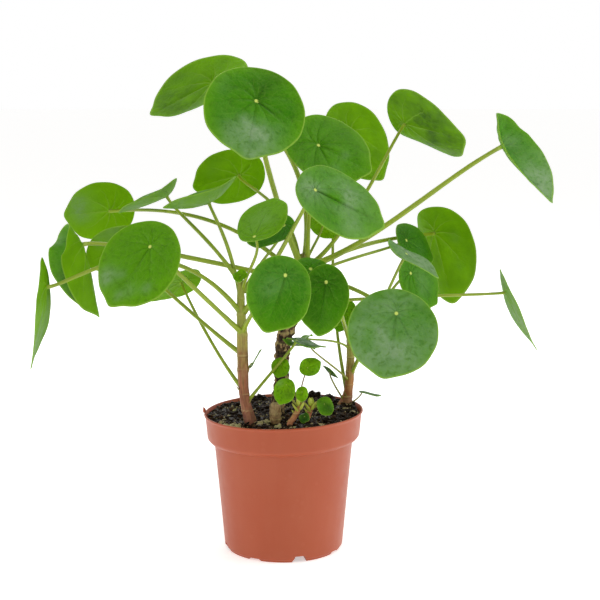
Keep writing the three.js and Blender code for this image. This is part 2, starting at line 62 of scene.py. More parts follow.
POT = {
    "height": 104.6,
    "rim_radius": 60.0,
    "collar_foot_radius": 57.4,
    "collar_foot_height": 86.5,
    "shoulder_radius": 52.2,
    "shoulder_height": 82.5,
    "body_foot_radius": 44.8,
    "body_foot_height": 2.2,
    "foot_radius": 43.4,
    "wall": 1.6,
    "lip_overhang": 1.1,
    "lip_height": 2.4,
    "floor_underside": 2.6,
    "floor_thickness": 2.0,
    "foot_ring_width": 5.0,
    "centre_pad_radius": 13.0,
    "rim_lean": 0.028,
    "underside_slope": 1.5,
    "rim_edge": 0.5,
}
NOTCHES = {
    "count": 8,
    "first_angle": -73.7,
    "tall": 4.8,
    "low": 1.6,
    "bottom_width": 11.5,
    "top_width": 7.0,
    "inner_radius": 30.0,
    "outer_radius": 50.0,
}
SOIL = {
    "level": 102.2,
    "mound": 2.2,
    "lump": 1.1,
    "lump_share": 0.625,
    "waves": [(0.5, 0.31, -0.27, 1.6), (0.5, 0.31, 0.27, 0.4), (0.6, 0.13, -0.45, 0.0)],
    "step": 1.8,
    "edge_depth": 2.5,
    "floor_height": 5.0,
    "clearance": 0.3,
}
BLADE = {
    "thickness": 1.0,
    "hub_share": 0.38,
    "tip_point": 0.05,
    "tip_width": 13.0,
    "wave": 1.2,
    "wave_turns": 3,
    "wave_start": 40.0,
    "wave_start_per_length": 7.0,
    "small_length": 26.0,
    "small_thickness": 0.72,
    "flat_share": 0.985,
}
PETIOLE = {"swell": (1.35, 1.0, 1.0, 0.9, 0.8), "reach": 16.0, "small_reach": 4.0}

# Stems from the root up: points on the axis, and the radius at each of them.
STEMS = {
    "left": {
        "axis": [
            (-23.6, -36, 72), (-23.6, -36, 104), (-26.4, -34, 114), (-28.6, -30, 128), (-29.3, -27, 152),
            (-29.8, -26.6, 172), (-30.4, -26, 190), (-30.4, -26, 210),
        ],
        "radius": (5.2, 5.2, 5, 4.4, 3.8, 3.8, 4.1, 4.1, 4, 3.7, 3.1, 2.6, 1.9),
    },
    "middle": {
        "axis": [
            (-4.9, -6, 72), (-4.9, -6, 105), (-3, -7, 118), (-1, -8, 134), (-0.8, -8, 152),
            (2.5, -6, 168), (8, -4, 184), (12, -3, 202), (15.5, -2, 224),
        ],
        "radius": (5.4, 5.4, 5.2, 5, 5.2, 6, 6.2, 6.4, 4.6),
    },
    "right": {
        "axis": [
            (46.7, 15, 90), (46.7, 15, 104), (48, 15.4, 109), (49.6, 16, 117), (50.8, 17, 134),
            (50.8, 19, 156), (49.6, 20, 172),
        ],
        "radius": (5, 5.2, 3.4, 3.2, 3, 2.8, 1.8),
    },
    "shoot_front": {
        "axis": [
            (4.8, -44, 82), (4.8, -44, 104), (8, -42.6, 109), (11.6, -41, 116), (12.4, -41, 122),
        ],
        "radius": (2.5, 2.5, 2.2, 2, 1.4),
    },
    "shoot_right": {
        "axis": [
            (16.7, -37.1, 82), (16.7, -37.1, 104), (18.4, -36.4, 108), (20.2, -36, 114),
            (20.8, -36, 119),
        ],
        "radius": (2.3, 2.3, 2, 1.8, 1.2),
    },
    "stump": {
        "axis": [
            (-5.8, -34, 82), (-5.8, -34, 103), (-5.4, -33.4, 110), (-5, -33, 118),
        ],
        "radius": (4.6, 4.8, 4.4, 3.6),
    },
}


LEAF_COLUMNS = ("name", "start", "leave", "hub", "size", "faces", "tip", "stalk")


def leaf(*values, **more):
    return {**dict(zip(LEAF_COLUMNS, values)), **more}


# One row for each leaf, under the stem that it grows on, with its name and then these.
# start: the point on the stem where the leaf's stalk starts
# leave: the way and length in which the stalk sets out
# hub: where the stalk meets the blade
# size: blade length and width
# faces: where the upper face looks. Heading 0 is the front, 90 the right, 180 the back. Rise 90 is up
# tip: where the tip points, turned from straight down the slope to the right as seen on its face
# stalk: the stalk's thickness
# Some leaves have more. reach: the length of the stalk's turn up into the blade
# hub_share: how far along the blade its hub lies
# dish: how far the margin stands above the hub. wave: how far the margin waves up and down
# bends: (direction from the hub, distance where the bend starts, length it takes, angle)
# tone: how much yellower the leaf is than the rest, or bluer below 0. brown: how brown its stalk is
# bloom: patches of painted sheen in a pale grey green, or below 0 of painted shade in a deeper green:
# (right and ahead of the hub and width, as shares of the leaf's length, and amount)
# creases: folds that set out from the hub, with painted shade along them: (direction, turned from the tip to
# the right, length as a share of the leaf's, and depth)
LEAVES_BY_STEM = {
    "middle": [
        leaf("top_back_left", (16, -1, 218), (14, 20, 100), (-57, 80, 350.5), (82, 78), (-138, 52), 40, 3.6,
             bends=[(90, 14, 16, 26)], bloom=[(0.0, 0.4, 0.6, -0.5)]),
        leaf("top_front", (13, -4, 216), (-18, -6, 40), (-17.4, -60, 336), (68, 71), (14, 26), -15, 3.8,
             tone=-0.2, bloom=[(0.04, 0.32, 0.34, 0.4), (-0.02, 0.55, 0.28, 0.35), (0.02, 0.25, 0.14, 0.3),
             (-0.3, -0.1, 0.24, 0.2), (0.02, 0.0, 0.26, -0.45), (0.2, -0.35, 0.2, -0.3),
             (-0.05, -0.3, 0.3, -0.15)], creases=[(62, 0.5, 1.0), (-158, 0.3, 0.4), (-125, 0.34, 0.35),
             (-80, 0.3, 0.25), (165, 0.3, 0.35)]),
        leaf("upper_left_back", (12, 1, 210), (0, 6, 52), (-35.4, 60, 278.5), (55, 53), (-168, 32), 72, 2.6,
             tone=0.15, bloom=[(0.2, 0.3, 0.2, 0.15)]),
        leaf("far_left_back", (10, 0, 206), (-62, 10, 66), (-139.4, 80, 249), (55, 51), (-159, 19), 85, 3,
             reach=8, tone=0.9, bloom=[(0.1, 0.45, 0.3, 0.5)]),
        leaf("far_left_folded", (10, -5, 204), (-40, 0, 9), (-146.6, -20, 232), (70, 76), (-68, -18), 0,
             3.6, hub_share=0.26, bends=[(90, 1, 9, 41), (-90, 1, 8, 45), (180, 2, 10, 26), (0, 5, 20, 6)],
             bloom=[(-0.3, -0.15, 0.22, 0.6), (-0.3, 0.4, 0.3, -0.7), (0.0, 0.1, 0.7, -0.25)],
             creases=[(0, 0.6, 0.6)]),
        leaf("upper_middle", (18, -3, 218), (0, -4, 34), (26, -10, 304), (64, 60), (16, 38), 55, 3,
             tone=0.2, bloom=[(-0.2, 0.3, 0.1, 0.4), (0.05, 0.3, 0.1, 0.5), (0.25, 0.1, 0.3, -0.4)],
             creases=[(8, 0.4, 0.5), (-40, 0.4, 0.4), (55, 0.3, 0.3)]),
        leaf("top_right_back", (18, 1, 214), (30, 10, 16), (94, 55, 318.6), (68, 76), (128, 40), -75, 2.8,
             hub_share=0.22, bends=[(-90, 8, 14, 28)], bloom=[(0.1, -0.1, 0.2, 0.3), (0.0, 0.3, 0.8, -0.65)]),
        leaf("far_right_top", (17, -3, 214), (44, -4, 12), (158.8, -20, 304), (75, 62), (64, 28), 0, 3.8,
             hub_share=0.32, reach=50, bends=[(90, 0, 8, 18), (-90, 0, 8, 30), (180, 2, 12, 28),
             (0, 2, 14, 16)], tone=-0.2, bloom=[(0.1, 0.0, 0.14, 0.3), (0.1, 0.5, 0.4, 0.7),
             (-0.1, 0.2, 0.25, -0.3)], creases=[(0, 0.6, 0.5)]),
        leaf("right_back", (17, 0, 210), (42, 16, 26), (119.6, 70, 232), (75, 76), (133, 6), -15, 3.2,
             hub_share=0.28, bends=[(-90, 2, 14, 30)], bloom=[(-0.24, 0.1, 0.14, 0.45),
             (-0.22, 0.4, 0.12, 0.35), (0.1, 0.3, 0.8, -0.3)]),
        leaf("right_upper", (17, -4, 206), (24, 4, 14), (94.2, 36, 229.6), (42, 38), (52, 30), 55, 2.4,
             hub_share=0.3, tone=-0.5, bloom=[(0.0, 0.3, 0.25, 0.2), (0.1, -0.1, 0.3, -0.3)]),
        leaf("right_front", (13, -6, 196), (20, -20, 26), (78, -90, 193), (59.5, 62), (-5, 15), -10, 3,
             hub_share=0.28, tone=-0.15, bloom=[(0.0, 0.2, 0.9, 0.42), (0.0, 0.5, 0.4, 0.45),
             (-0.3, 0.2, 0.16, 0.2), (0.05, 0.12, 0.16, -0.3)], creases=[(6, 0.45, 0.35), (40, 0.4, 0.3),
             (-35, 0.4, 0.3)]),
        leaf("far_right_low", (8, -3, 186), (60, 16, 4), (170.8, 30, 190.5), (67, 45), (93, 24), 0, 2.6,
             hub_share=0.27, reach=5, bends=[(180, 0, 10, 14), (0, 5, 20, 5)], bloom=[(0.0, 0.3, 0.7, 0.7)]),
        leaf("middle_back", (16, 1, 212), (2, 20, 10), (30.8, 26, 246), (31, 28), (172, 40), -20, 2),
        leaf("crown_front", (14, -7, 200), (1, -14, 6), (20, -44, 217.5), (28, 26), (10, 42), 10, 1.8,
             reach=8),
    ],
    "left": [
        leaf("left_flat", (-30, -26, 190), (-8, 8, 44), (-55, 0, 261.6), (57, 48), (-97, 68), 30, 2.8,
             hub_share=0.46, dish=9, bloom=[(0.0, 0.2, 0.7, 0.5)]),
        leaf("left_back_flat", (-30.2, -25.6, 204), (-22, 6, 34), (-90, 40, 263.6), (50, 46), (-92, 62), 0,
             2.8, hub_share=0.27, dish=7, bloom=[(0.0, 0.2, 0.7, 0.5)]),
        leaf("left_front", (-29, -27, 168), (-14, -14, 16), (-90, -80, 237.6), (65, 66), (-28, 31), -20,
             3.2, hub_share=0.29, tone=0.4, bloom=[(-0.27, 0.5, 0.14, 0.6), (0.1, 0.52, 0.1, 0.4),
             (0.28, 0.4, 0.08, 0.4), (0.0, 0.62, 0.08, 0.35), (-0.1, 0.4, 0.07, 0.3)],
             creases=[(4, 0.4, 0.35), (35, 0.3, 0.25)]),
        leaf("left_behind", (-29, -26, 152), (-22, 8, 14), (-122.6, 20, 227.5), (46, 42), (-150, 30), 60,
             2.8, bloom=[(0.3, 0.1, 0.3, 0.4)]),
        leaf("left_low_back", (-28.4, -30, 126), (-22, 8, 26), (-79.6, 40, 196.8), (44, 38), (-149, 47), 45,
             2.4, reach=12, bloom=[(0.3, 0.3, 0.4, 0.4)]),
        leaf("far_left_low", (-29.6, -26, 182), (-56, -26, 80), (-166, -60, 207), (77, 60), (-88, 4), 0, 3,
             hub_share=0.27, bends=[(0, 5, 30, 10), (180, 2, 12, 20)], bloom=[(0.0, 0.55, 0.35, 0.5)]),
        leaf("centre_young", (-29, -26, 200), (2, -10, 14), (-18.6, -80, 244.4), (42, 38), (-35, 48), -175,
             2.2, hub_share=0.14, tone=0.7, bloom=[(0.0, 0.4, 0.4, 0.25)]),
        leaf("centre_young_back", (-28, -25, 198), (4, -4, 16), (1.4, -50, 249), (35, 32), (-30, 52), -50,
             2, hub_share=0.22, reach=8),
        leaf("centre_front", (-29, -28, 170), (8, -20, 20), (3, -120, 223), (50, 45), (20, 12), -25, 2.8,
             hub_share=0.25, tone=-0.3, bloom=[(0.0, 0.2, 0.9, 0.15), (-0.1, 0.25, 0.2, 0.15),
             (0.2, 0.5, 0.3, -0.3)], creases=[(4, 0.5, 0.4)]),
        leaf("upper_front", (-28, -27, 184), (14, -14, 20), (23, -90, 277), (64, 60), (35, 41), 50, 3,
             hub_share=0.22, tone=0.1, bloom=[(0.0, 0.3, 0.9, 0.24), (0.16, 0.34, 0.22, 0.35),
             (-0.2, 0.45, 0.2, 0.25), (-0.05, -0.05, 0.18, 0.3), (0.02, 0.22, 0.1, -0.5),
             (-0.3, 0.25, 0.14, -0.3)], creases=[(2, 0.72, 1.0), (-60, 0.3, 0.3)]),
        leaf("left_top_young", (-30.4, -26, 204), (0, -2, 3), (-30, -45, 213), (9.5, 10.5), (-10, 38), 20,
             1.6, dish=1.8, reach=3, tone=1.0),
        leaf("left_low_centre", (-26.8, -32.6, 117), (10, 1, 14), (10, -28, 163.1), (29, 18), (84, 77), 0,
             2.2, hub_share=0.27, reach=4, tone=-0.8, bloom=[(0.0, 0.2, 0.7, 0.2)]),
        leaf("left_sliver", (-28.6, -28, 137), (3, 0, 4), (-22, -28, 146), (16, 9), (90, -30), -176, 1.2,
             hub_share=0.24, wave=0.3, reach=1.5, tone=-0.9, bloom=[(0.0, 0.2, 0.7, 0.5)]),
    ],
    "right": [
        leaf("upper_right_back", (49, 17, 112), (-22, 4, 100), (53.4, 92, 310.4), (68, 68), (135, 22), -25,
             2.2, bloom=[(-0.3, 0.2, 0.3, 0.25), (0.1, 0.2, 0.7, -0.4)]),
        leaf("centre_right_front", (50.6, 18, 154), (-6, -20, 16), (30.4, -80, 213), (48, 37), (-25, 10),
             -5, 2.8, hub_share=0.26, tone=-0.1, bloom=[(-0.1, 0.5, 0.4, -0.4), (-0.2, 0.0, 0.2, -0.4),
             (0.25, -0.05, 0.3, -0.5)], creases=[(0, 0.5, 0.35)]),
        leaf("right_edge", (50.6, 17, 127), (10, -8, 22), (88, -45, 228.5), (43, 32), (70, 57), 0, 2.4,
             bloom=[(0.0, 0.2, 0.7, 0.65)]),
        leaf("right_middle", (51, 18, 140), (10, -4, 20), (94.4, -6, 209.6), (46, 36), (45, 15), 45, 2.4,
             hub_share=0.28, bloom=[(0.0, 0.25, 0.3, 0.3), (-0.2, 0.1, 0.15, -0.4)]),
        leaf("right_low_centre", (49.6, 16, 124), (-4, -8, 8), (20.6, -18, 156.8), (24, 16), (90, 78), 180,
             1.4, hub_share=0.15, reach=3, tone=-0.8, bloom=[(0.0, 0.2, 0.7, 0.2)], brown=0.25),
        leaf("right_low_back", (50.4, 18, 148), (-8, -12, 12), (16.8, -6, 161.4), (14, 10), (-90, 70), 20,
             1.6, hub_share=0.4, reach=3),
        leaf("right_top_young", (49.6, 20, 166), (0, -2, 3), (46, 12, 178.6), (25, 21), (-20, 20), -10, 1.6,
             reach=3),
        leaf("right_sliver", (47.4, 15, 107), (-5, -3, 8), (35.5, 6, 133), (15, 11), (120, 45), -20, 1.4,
             hub_share=0.5, wave=0.3, reach=3, tone=-0.9, bloom=[(0.0, 0.2, 0.7, 0.5)], brown=0.3),
        leaf("right_rim", (47.4, 15, 105.5), (6, 2, 1), (60, 20, 114.2), (17, 8), (88, 79), 0, 1.2,
             hub_share=0.14, wave=0.3, reach=3, tone=-0.9, brown=0.5),
    ],
    "shoot_front": [
        leaf("shoot_front_large", (11.6, -41, 117), (-6, -2, 4), (2.7, -51, 135), (19, 16), (-12, 22), -12,
             1.4, hub_share=0.26, tone=0.5, bloom=[(-0.25, 0.0, 0.2, 0.4), (0.2, 0.3, 0.3, -0.4)], brown=0.3),
        leaf("shoot_front_back", (12, -40.6, 119), (-4, 6, 8), (-1.3, -28, 145), (15, 14), (-14, 20), -10,
             1.2, tone=0.5, brown=0.4),
        leaf("shoot_front_tall", (12.2, -41, 120), (0, 1, 10), (18, -36, 144.5), (16, 14), (10, 24), 110, 1,
             tone=0.6, brown=0.8),
        leaf("shoot_front_young", (12.4, -41, 121), (0, -1, 2), (14, -45, 128.5), (11, 9), (4, 20), -4, 1,
             reach=1.5, tone=1.0),
    ],
    "shoot_right": [
        leaf("shoot_right_large", (20, -36, 114), (4, 0, 2), (30, -40, 118.5), (14, 13), (16, 30), 20, 1,
             tone=-0.5, bloom=[(0.0, 0.2, 0.5, -0.6)], brown=0.3),
        leaf("shoot_right_low", (20.2, -36, 111), (-2, -2, 0), (15.8, -45, 110.4), (8, 7.5), (-10, 34), 0,
             1, reach=2, tone=-0.9, bloom=[(0.0, 0.2, 0.6, -0.8)], brown=0.5),
    ],
}
LEAVES = [dict(row, stem=stem) for stem, rows in LEAVES_BY_STEM.items() for row in rows]

# ---------------------------------------------------------------- details the model leaves out

# Heights on a stem where a leaf once stood: height, how far the ring stands out, and its height
LEAF_SCARS = {
    "left": [(106.5, 0.4, 1.2), (112.5, 0.35, 0.9), (124, 0.2, 0.8), (141.5, 0.35, 1.3), (152, 0.25, 1.0),
             (167, 0.4, 1.3), (182, 0.3, 1.1), (194, 0.3, 1.0)],
    "middle": [(110, 0.7, 1.3), (118, 0.6, 1.3), (125, 0.7, 1.2), (133, 0.7, 1.3), (141, 0.6, 1.2),
               (149, 0.8, 1.3), (157, 0.7, 1.3), (165, 0.9, 1.5), (173, 0.7, 1.5), (182, 0.5, 1.6)],
    "right": [(107, 0.6, 1.2), (112, 0.4, 1.0), (121, 0.25, 1.0), (131, 0.3, 1.1), (142, 0.25, 1.0),
              (154, 0.3, 1.1)],
    "shoot_front": [(107, 0.2, 0.8), (112, 0.2, 0.8), (117, 0.2, 0.7)],
    "shoot_right": [(107, 0.2, 0.8), (112, 0.2, 0.7)],
    "stump": [(106, 0.3, 0.9), (110, 0.3, 0.8)],
}
# How rough each stem is: height of its scales, size of a scale, and height of its lengthwise ridges
BARK = {
    "left": (0.12, 5.0, 0.22),
    "middle": (1.15, 1.9, 0.25),
    "right": (0.2, 3.4, 0.25),
    "shoot_front": (0.12, 1.8, 0.12),
    "shoot_right": (0.12, 1.8, 0.12),
    "stump": (0.35, 1.3, 0.75),
}
# Small pointed leaflets that sheathe a shoot: foot, the way they point, length and width
STIPULES = {
    "shoot_front": [
        ((10.6, -42.2, 113.5), (-6, -3, 8), 8.0, 4.4),
        ((13.0, -41.6, 114.5), (4, -3, 8), 7.5, 4.2),
        ((12.2, -40.2, 116.5), (1, 3, 8), 7.0, 3.8),
        ((11.4, -42.4, 118.0), (-2, -4, 9), 6.5, 3.4),
        ((9.4, -41.6, 110.5), (-5, 2, 5), 5.0, 3.2),
    ],
    "shoot_right": [
        ((19.6, -37.2, 112.0), (-5, -3, 8), 9.0, 4.8),
        ((21.4, -36.8, 113.5), (4, -4, 7), 8.5, 4.6),
        ((20.6, -35.2, 115.0), (1, 4, 8), 7.5, 4.2),
        ((20.0, -37.4, 116.5), (-1, -3, 9), 7.0, 3.8),
        ((18.6, -36.0, 109.5), (-4, 2, 5), 5.5, 3.4),
    ],
    "left": [
        ((-31.2, -31.2, 126.0), (-4, -2, 5), 5.0, 2.6),
        ((-24.6, -34.6, 117.5), (3, -1, 5), 4.5, 2.4),
        ((-25.6, -28.4, 139.0), (2, -1, 5), 4.5, 2.4),
    ],
    "middle": [
        ((9.0, -9.4, 190.0), (-3, -4, 6), 6.0, 3.4),
        ((16.0, -8.0, 197.0), (3, -4, 7), 6.0, 3.4),
        ((13.6, -7.4, 210.0), (1, -4, 8), 7.0, 3.6),
        ((18.0, -4.8, 214.0), (4, -2, 8), 7.0, 3.6),
    ],
    "right": [((47.6, 12.0, 113.0), (-3, -2, 5), 4.5, 2.4), ((52.6, 15.4, 128.0), (3, -2, 5), 4.0, 2.2)],
}
# Heaps of soil that stand a little over the far rim: place, height and width
SOIL_HEAPS = [
    (24, 47, 4.0, 9), (36, 40, 3.2, 8), (8, 50, 2.2, 9), (-20, 47, 2.6, 8), (47, 24, 3.0, 9),
    (52, 6, 2.0, 8), (-44, 22, 1.6, 10), (-5.8, -34, 1.2, 8), (-23.6, -36, 1.2, 8), (46, 12, 2.4, 8),
]
# Pale crumbs and sprigs of moss on the soil: place, size and how pale or green they are
SOIL_MARKS = [
    (-17, -38, 3.0, 1.0), (-13, -41, 2.6, 0.9), (-11, -36, 2.2, 0.8), (-14.5, -34, 1.8, 1.0),
    (-37, -40, 3.0, 0.7), (-41, -36, 2.4, 0.8), (-33, -43, 2.2, 0.6), (-45, -30, 1.6, 0.9),
    (-4, -47, 2.0, 0.7), (27, -42, 1.6, 0.8), (33, -30, 1.4, 0.9), (47, 2, 1.6, 1.0),
    (52, -8, 1.4, 0.8), (-30, -10, 1.6, 0.9), (-40, -8, 1.4, 1.0), (14, -20, 1.6, 0.6),
]
# A small flap of flash on the rim: points on its axis and its radius along it
RIM_NUB = {
    "axis": [(-59.6, 1.2, 102.8), (-59.7, 0.8, 104.4), (-59.9, 0.2, 105.8), (-60.4, -0.2, 107.0)],
    "radius": (1.1, 1.2, 0.9, 0.25),
}
# How crumbs are spread: their distance from the wall, the shares of each kind, and the tint of mossy ones
CRUMBS = {
    "from_wall": 2.2,
    "brown_share": 0.2,
    "pale_share": 0.23,
    "pale_size": 0.55,
    "mossy_share": 0.02,
    "mossy": -0.8,
    "per_mark": 7,
}
# The veins of a blade. They spread from the hub at even angles and arch to the tip
VEINS = {
    "spacing": math.radians(45),
    "arch": 0.28,
    "wander": 0.55,
    "wander_scale": 0.12,
    "width_at_margin": 0.35,
    "branch_slope": 1.1,
    "branch_height": 0.45,
    "net_scale": 0.42,
    "net_height": 0.16,
    "margin": (0.962, 0.985),
}
# A fold reaches its full depth at this distance from the hub, and this is half its width
CREASE = {"start": 2.0, "width": 0.75}

# ---------------------------------------------------------------- looks of the materials

# For each stem: its piece's name, the node that it stands for, its slot and its skin
STEM_PIECES = {
    "left": ("grown_stem_left", "stem_left", "green_stem", "left_skin"),
    "middle": ("grown_stem_middle", "stem_middle", "bark_trunk", "old_bark"),
    "right": ("grown_stem_right", "stem_right", "green_stem", "right_skin"),
    "shoot_front": ("grown_shoot_front", "stem_shoot_front", "shoot_stem", "shoot_skin"),
    "shoot_right": ("grown_shoot_right", "stem_shoot_right", "shoot_stem", "shoot_skin"),
    "stump": ("dry_wood_stump", "dry_stump", "dry_wood", "dry_wood"),
}
# Each skin: the heights between which its low colour gives way to its high one, those colours and the root's,
# and how much shows of its scales, pale bands and dark streaks
SKINS = {
    "left_skin": dict(turns=(138, 178), low="red_skin", high="olive_skin", root="left_root", scales=0.1,
                      banded=0.4, streaky=0.45),
    "old_bark": dict(turns=(172, 196), low="bark", high="trunk_top", scales=0.9),
    "right_skin": dict(turns=(118, 160), low="right_low", high="olive_skin", root="right_root", scales=0.15,
                       banded=0.5, streaky=0.45),
    "shoot_skin": dict(turns=(112, 124), low="shoot", high="shoot_top", scales=0.15),
    "dry_wood": dict(turns=(104, 118), low="dry", high="stump_top", scales=0.45, streaky=0.6),
}
# How unevenly one colour of a skin gives way to the next, and where that of the root fades out
RAGGED = 16.0
ROOT_HEIGHTS = (104.0, 118.0)
# How the two faces of a blade differ, and how young leaves differ from grown ones
FACE_LOOKS = {
    "upper": dict(vein_width=0.42, vein_rise=-1.0, dull=0.3, specular=0.22, through=0.22, blue="blue_green"),
    "under": dict(vein_width=0.7, vein_rise=1.0, dull=0.45, specular=0.08, through=0.3, blue="blue_under"),
}
# folds: how much painted shade darkens the hollows of the wrinkles on the upper face
AGE_LOOKS = {
    "leaf": dict(vein_share=1.0, hub_size=1.6, hub_shine=0.95, wrinkle_size=3.4, folds=0.26),
    "young_leaf": dict(vein_share=0.5, hub_size=0.5, hub_shine=0.55, wrinkle_size=1.9, folds=0.45),
}
# The shine of a blade is yellow green
SPECULAR_TINT = (0.75, 1.0, 0.3, 1.0)
# In the shared effects: how fine the specks are, and how close and deep the pits
SPECKS_PER_PATCH = 5.0
PIT_SPACING = 0.7
PIT_DEPTH = 0.25
# Colours that aren't among the settings
TINTS = {
    "plastic_speck": "8E4630", "floor_patch": "E9E7E4",
    "stalk_patch": "A6B426", "stalk_root": "8E9440", "stalk_brown": "8C5A3A", "stalk_end": "B9CC62",
    "left_root": "74322C", "right_root": "8A4430", "right_low": "B0622A", "trunk_top": "8A8A3C",
    "shoot_top": "B9A050", "stump_top": "B49A6C",
    "streak": "4A2C1C", "fleck": "CDB98C", "bark_gap": "241A14", "scar_shadow": "46261C",
    "stipule": "BCC44A", "stipule_streak": "9DB038", "stipule_tip": "7A4A2C", "stipule_brown": "7C5238",
    # The deep green and the greens of the grooves and wrinkles are painted shade on the leaves
    "blue_green": "1E5A1E", "blue_under": "3C6A30", "painted_shade_green": "123A10", "groove": "143C12",
    "wrinkle_shade": "1C4A10", "light_through": "A0D000",
}
WHITE = (1.0, 1.0, 1.0, 1.0)
# Half the side of the floor, in millimetres
FLOOR_REACH = 40 / MM


def linear(code):
    """A colour given as six hex digits, in linear light."""
    values = [int(code[i:i + 2], 16) / 255 for i in (0, 2, 4)]
    return tuple(v / 12.92 if v <= 0.04045 else ((v + 0.055) / 1.055) ** 2.4 for v in values)


def tint(name):
    """One of the tints, in linear light."""
    return linear(TINTS[name])


def colour_property(name, description, code):
    return FloatVectorProperty(
        name=name, description=description, default=linear(code), size=3, min=0, max=1, subtype="COLOR"
    )


def share_property(name, description, default):
    return FloatProperty(name=name, description=description, default=default, min=0, max=1, subtype="FACTOR")


def length_property(name, description, default):
    return FloatProperty(name=name, description=description, default=default, min=0, unit="LENGTH")


# ---------------------------------------------------------------- settings a user would change


class PotSettings(PropertyGroup):
    lip_round: length_property("Lip rounding", "Radius of the rounded edges of the pot", 0.0007)
    plastic: colour_property("Plastic", "Colour of the moulded pot", "A54622")
    faded: colour_property("Faded plastic", "Colour where the plastic is scuffed or thin", "B05A3A")
    gloss: share_property("Roughness", "How dull the plastic is", 0.42)


class SoilSettings(PropertyGroup):
    granules: IntProperty(name="Granules", description="How many crumbs lie on the soil", default=2600, min=0)
    seed: IntProperty(name="Seed", description="Which scatter of crumbs is made", default=7, min=0)
    largest: length_property("Largest crumb", "Radius of the largest crumbs", 0.0019)
    dark: colour_property("Wet peat", "Colour of the wet soil", "080605")
    brown: colour_property("Fibre", "Colour of the brown bits of fibre", "4A3420")
    pale: colour_property("Pale crumbs", "Colour of the pale crumbs", "D8C998")
    moss: colour_property("Moss", "Colour of the mossy crumbs", "5E6B2E")


class StemSettings(PropertyGroup):
    relief: share_property("Bark relief", "How much of the bark's full height is shown", 1.0)
    stalk: colour_property("Leaf stalks", "Colour of the leaf stalks", "90A61E")
    stalk_shade: colour_property("Stalk streaks", "Darker green streaks along the stalks", "6A8018")
    red_skin: colour_property("Red skin", "Pink and brown skin low on the stems", "9C4E38")
    olive_skin: colour_property("Olive skin", "Green skin high on the stems", "9CA43A")
    scar: colour_property("Leaf scars", "Pale rings where leaves stood", "C9BC7C")
    bark: colour_property("Old bark", "Dark scaly bark of the middle stem", "4A3526")
    bark_pale: colour_property("Bark scales", "Paler faces of the bark scales", "BE9F70")
    shoot: colour_property("Young shoots", "Orange red skin of the shoots", "C77B52")
    dry: colour_property("Dry wood", "Dry fibres of the stump", "A07C4C")


class LeafSettings(PropertyGroup):
    thickness: length_property("Thickness", "Thickness of a blade at its middle", 0.0009)
    quilting: length_property("Quilting", "How far the blade swells between its veins", 0.00028)
    upper: colour_property("Upper face", "Green of the upper face", "468E00")
    upper_deep: colour_property("Upper face, deep", "Deeper green of the upper face", "2E7600")
    under: colour_property("Underside", "Green of the underside", "82BE00")
    under_deep: colour_property("Underside, shaded", "Deeper green of the underside", "669E00")
    vein: colour_property("Veins", "Light green of the veins and the margin", "9CC24A")
    hub: colour_property("Hub", "Pale dot where the stalk joins", "E6F47C")
    young: colour_property("Young leaves", "Yellow green of the youngest leaves", "80B80A")
    # The grey green of the painted sheen that is laid on the leaves in patches
    bloom: colour_property("Waxy bloom", "Grey green of the waxy bloom on old leaves", "8EA884")


class StageSettings(PropertyGroup):
    camera: FloatVectorProperty(
        name="Camera", description="Where the camera stands", default=(0.0125, -1.0, 0.338), size=3,
        subtype="TRANSLATION", unit="LENGTH",
    )
    pitch: FloatProperty(
        name="Pitch", description="How far the camera looks down", default=math.radians(8.49), subtype="ANGLE"
    )
    lens: FloatProperty(name="Lens", description="Focal length on a 36 mm wide sensor", default=81.36, min=1)
    floor: colour_property("Floor", "Colour of the floor", "F4F3F1")
    glow: FloatProperty(
        name="Floor glow", description="How much the lit floor shines by itself", default=0.5, min=0
    )
    sky: FloatProperty(name="Room light", description="Strength of the light all round", default=0.42, min=0)
    key: FloatProperty(
        name="Soft box", description="Power of the large soft light", default=9.2, min=0, unit="POWER"
    )


# ---------------------------------------------------------------- smooth random fields


def value_noise(points, size, seed):
    """A smooth random value from -1 to 1 at each point, which changes over a length of about size."""
    table = np.random.default_rng(seed).uniform(-1, 1, 4096)
    scaled = np.asarray(points, float) / size + 517.3
    base = np.floor(scaled).astype(int)
    part = scaled - base
    part = part * part * (3 - 2 * part)
    total = np.zeros(scaled.shape[:-1])
    for corner in np.ndindex(2, 2, 2):
        cell = base + corner
        key = cell[..., 0] * 73856093 ^ cell[..., 1] * 19349663 ^ cell[..., 2] * 83492791
        weight = np.prod(np.where(np.array(corner) == 1, part, 1 - part), axis=-1)
        total += weight * table[key & 4095]
    return total


def layered_noise(points, size, seed, layers=3):
    """Value noise with finer and weaker layers added to it."""
    total = sum(value_noise(points, size / 2 ** i, seed + i) / 2 ** i for i in range(layers))
    return total / (2 - 2 ** (1 - layers))


def nearest_cells(around, along, girth, cell, seed):
    """For points on a skin that closes after one girth: distance to the nearest seed and its random value."""
    rng = np.random.default_rng(seed)
    low, high = along.min(), along.max()
    count = max(3, int(girth * (high - low) / cell ** 2))
    seeds = np.stack([rng.uniform(0, girth, count), rng.uniform(low, high, count)], -1)
    tones = rng.uniform(-1, 1, count)
    side = np.abs(around[:, None] - seeds[None, :, 0])
    side = np.minimum(side, girth - side)
    distance = np.hypot(side, 0.7 * (along[:, None] - seeds[None, :, 1]))
    nearest = distance.argmin(1)
    return distance[np.arange(len(nearest)), nearest] / cell, tones[nearest]


# ---------------------------------------------------------------- meshes


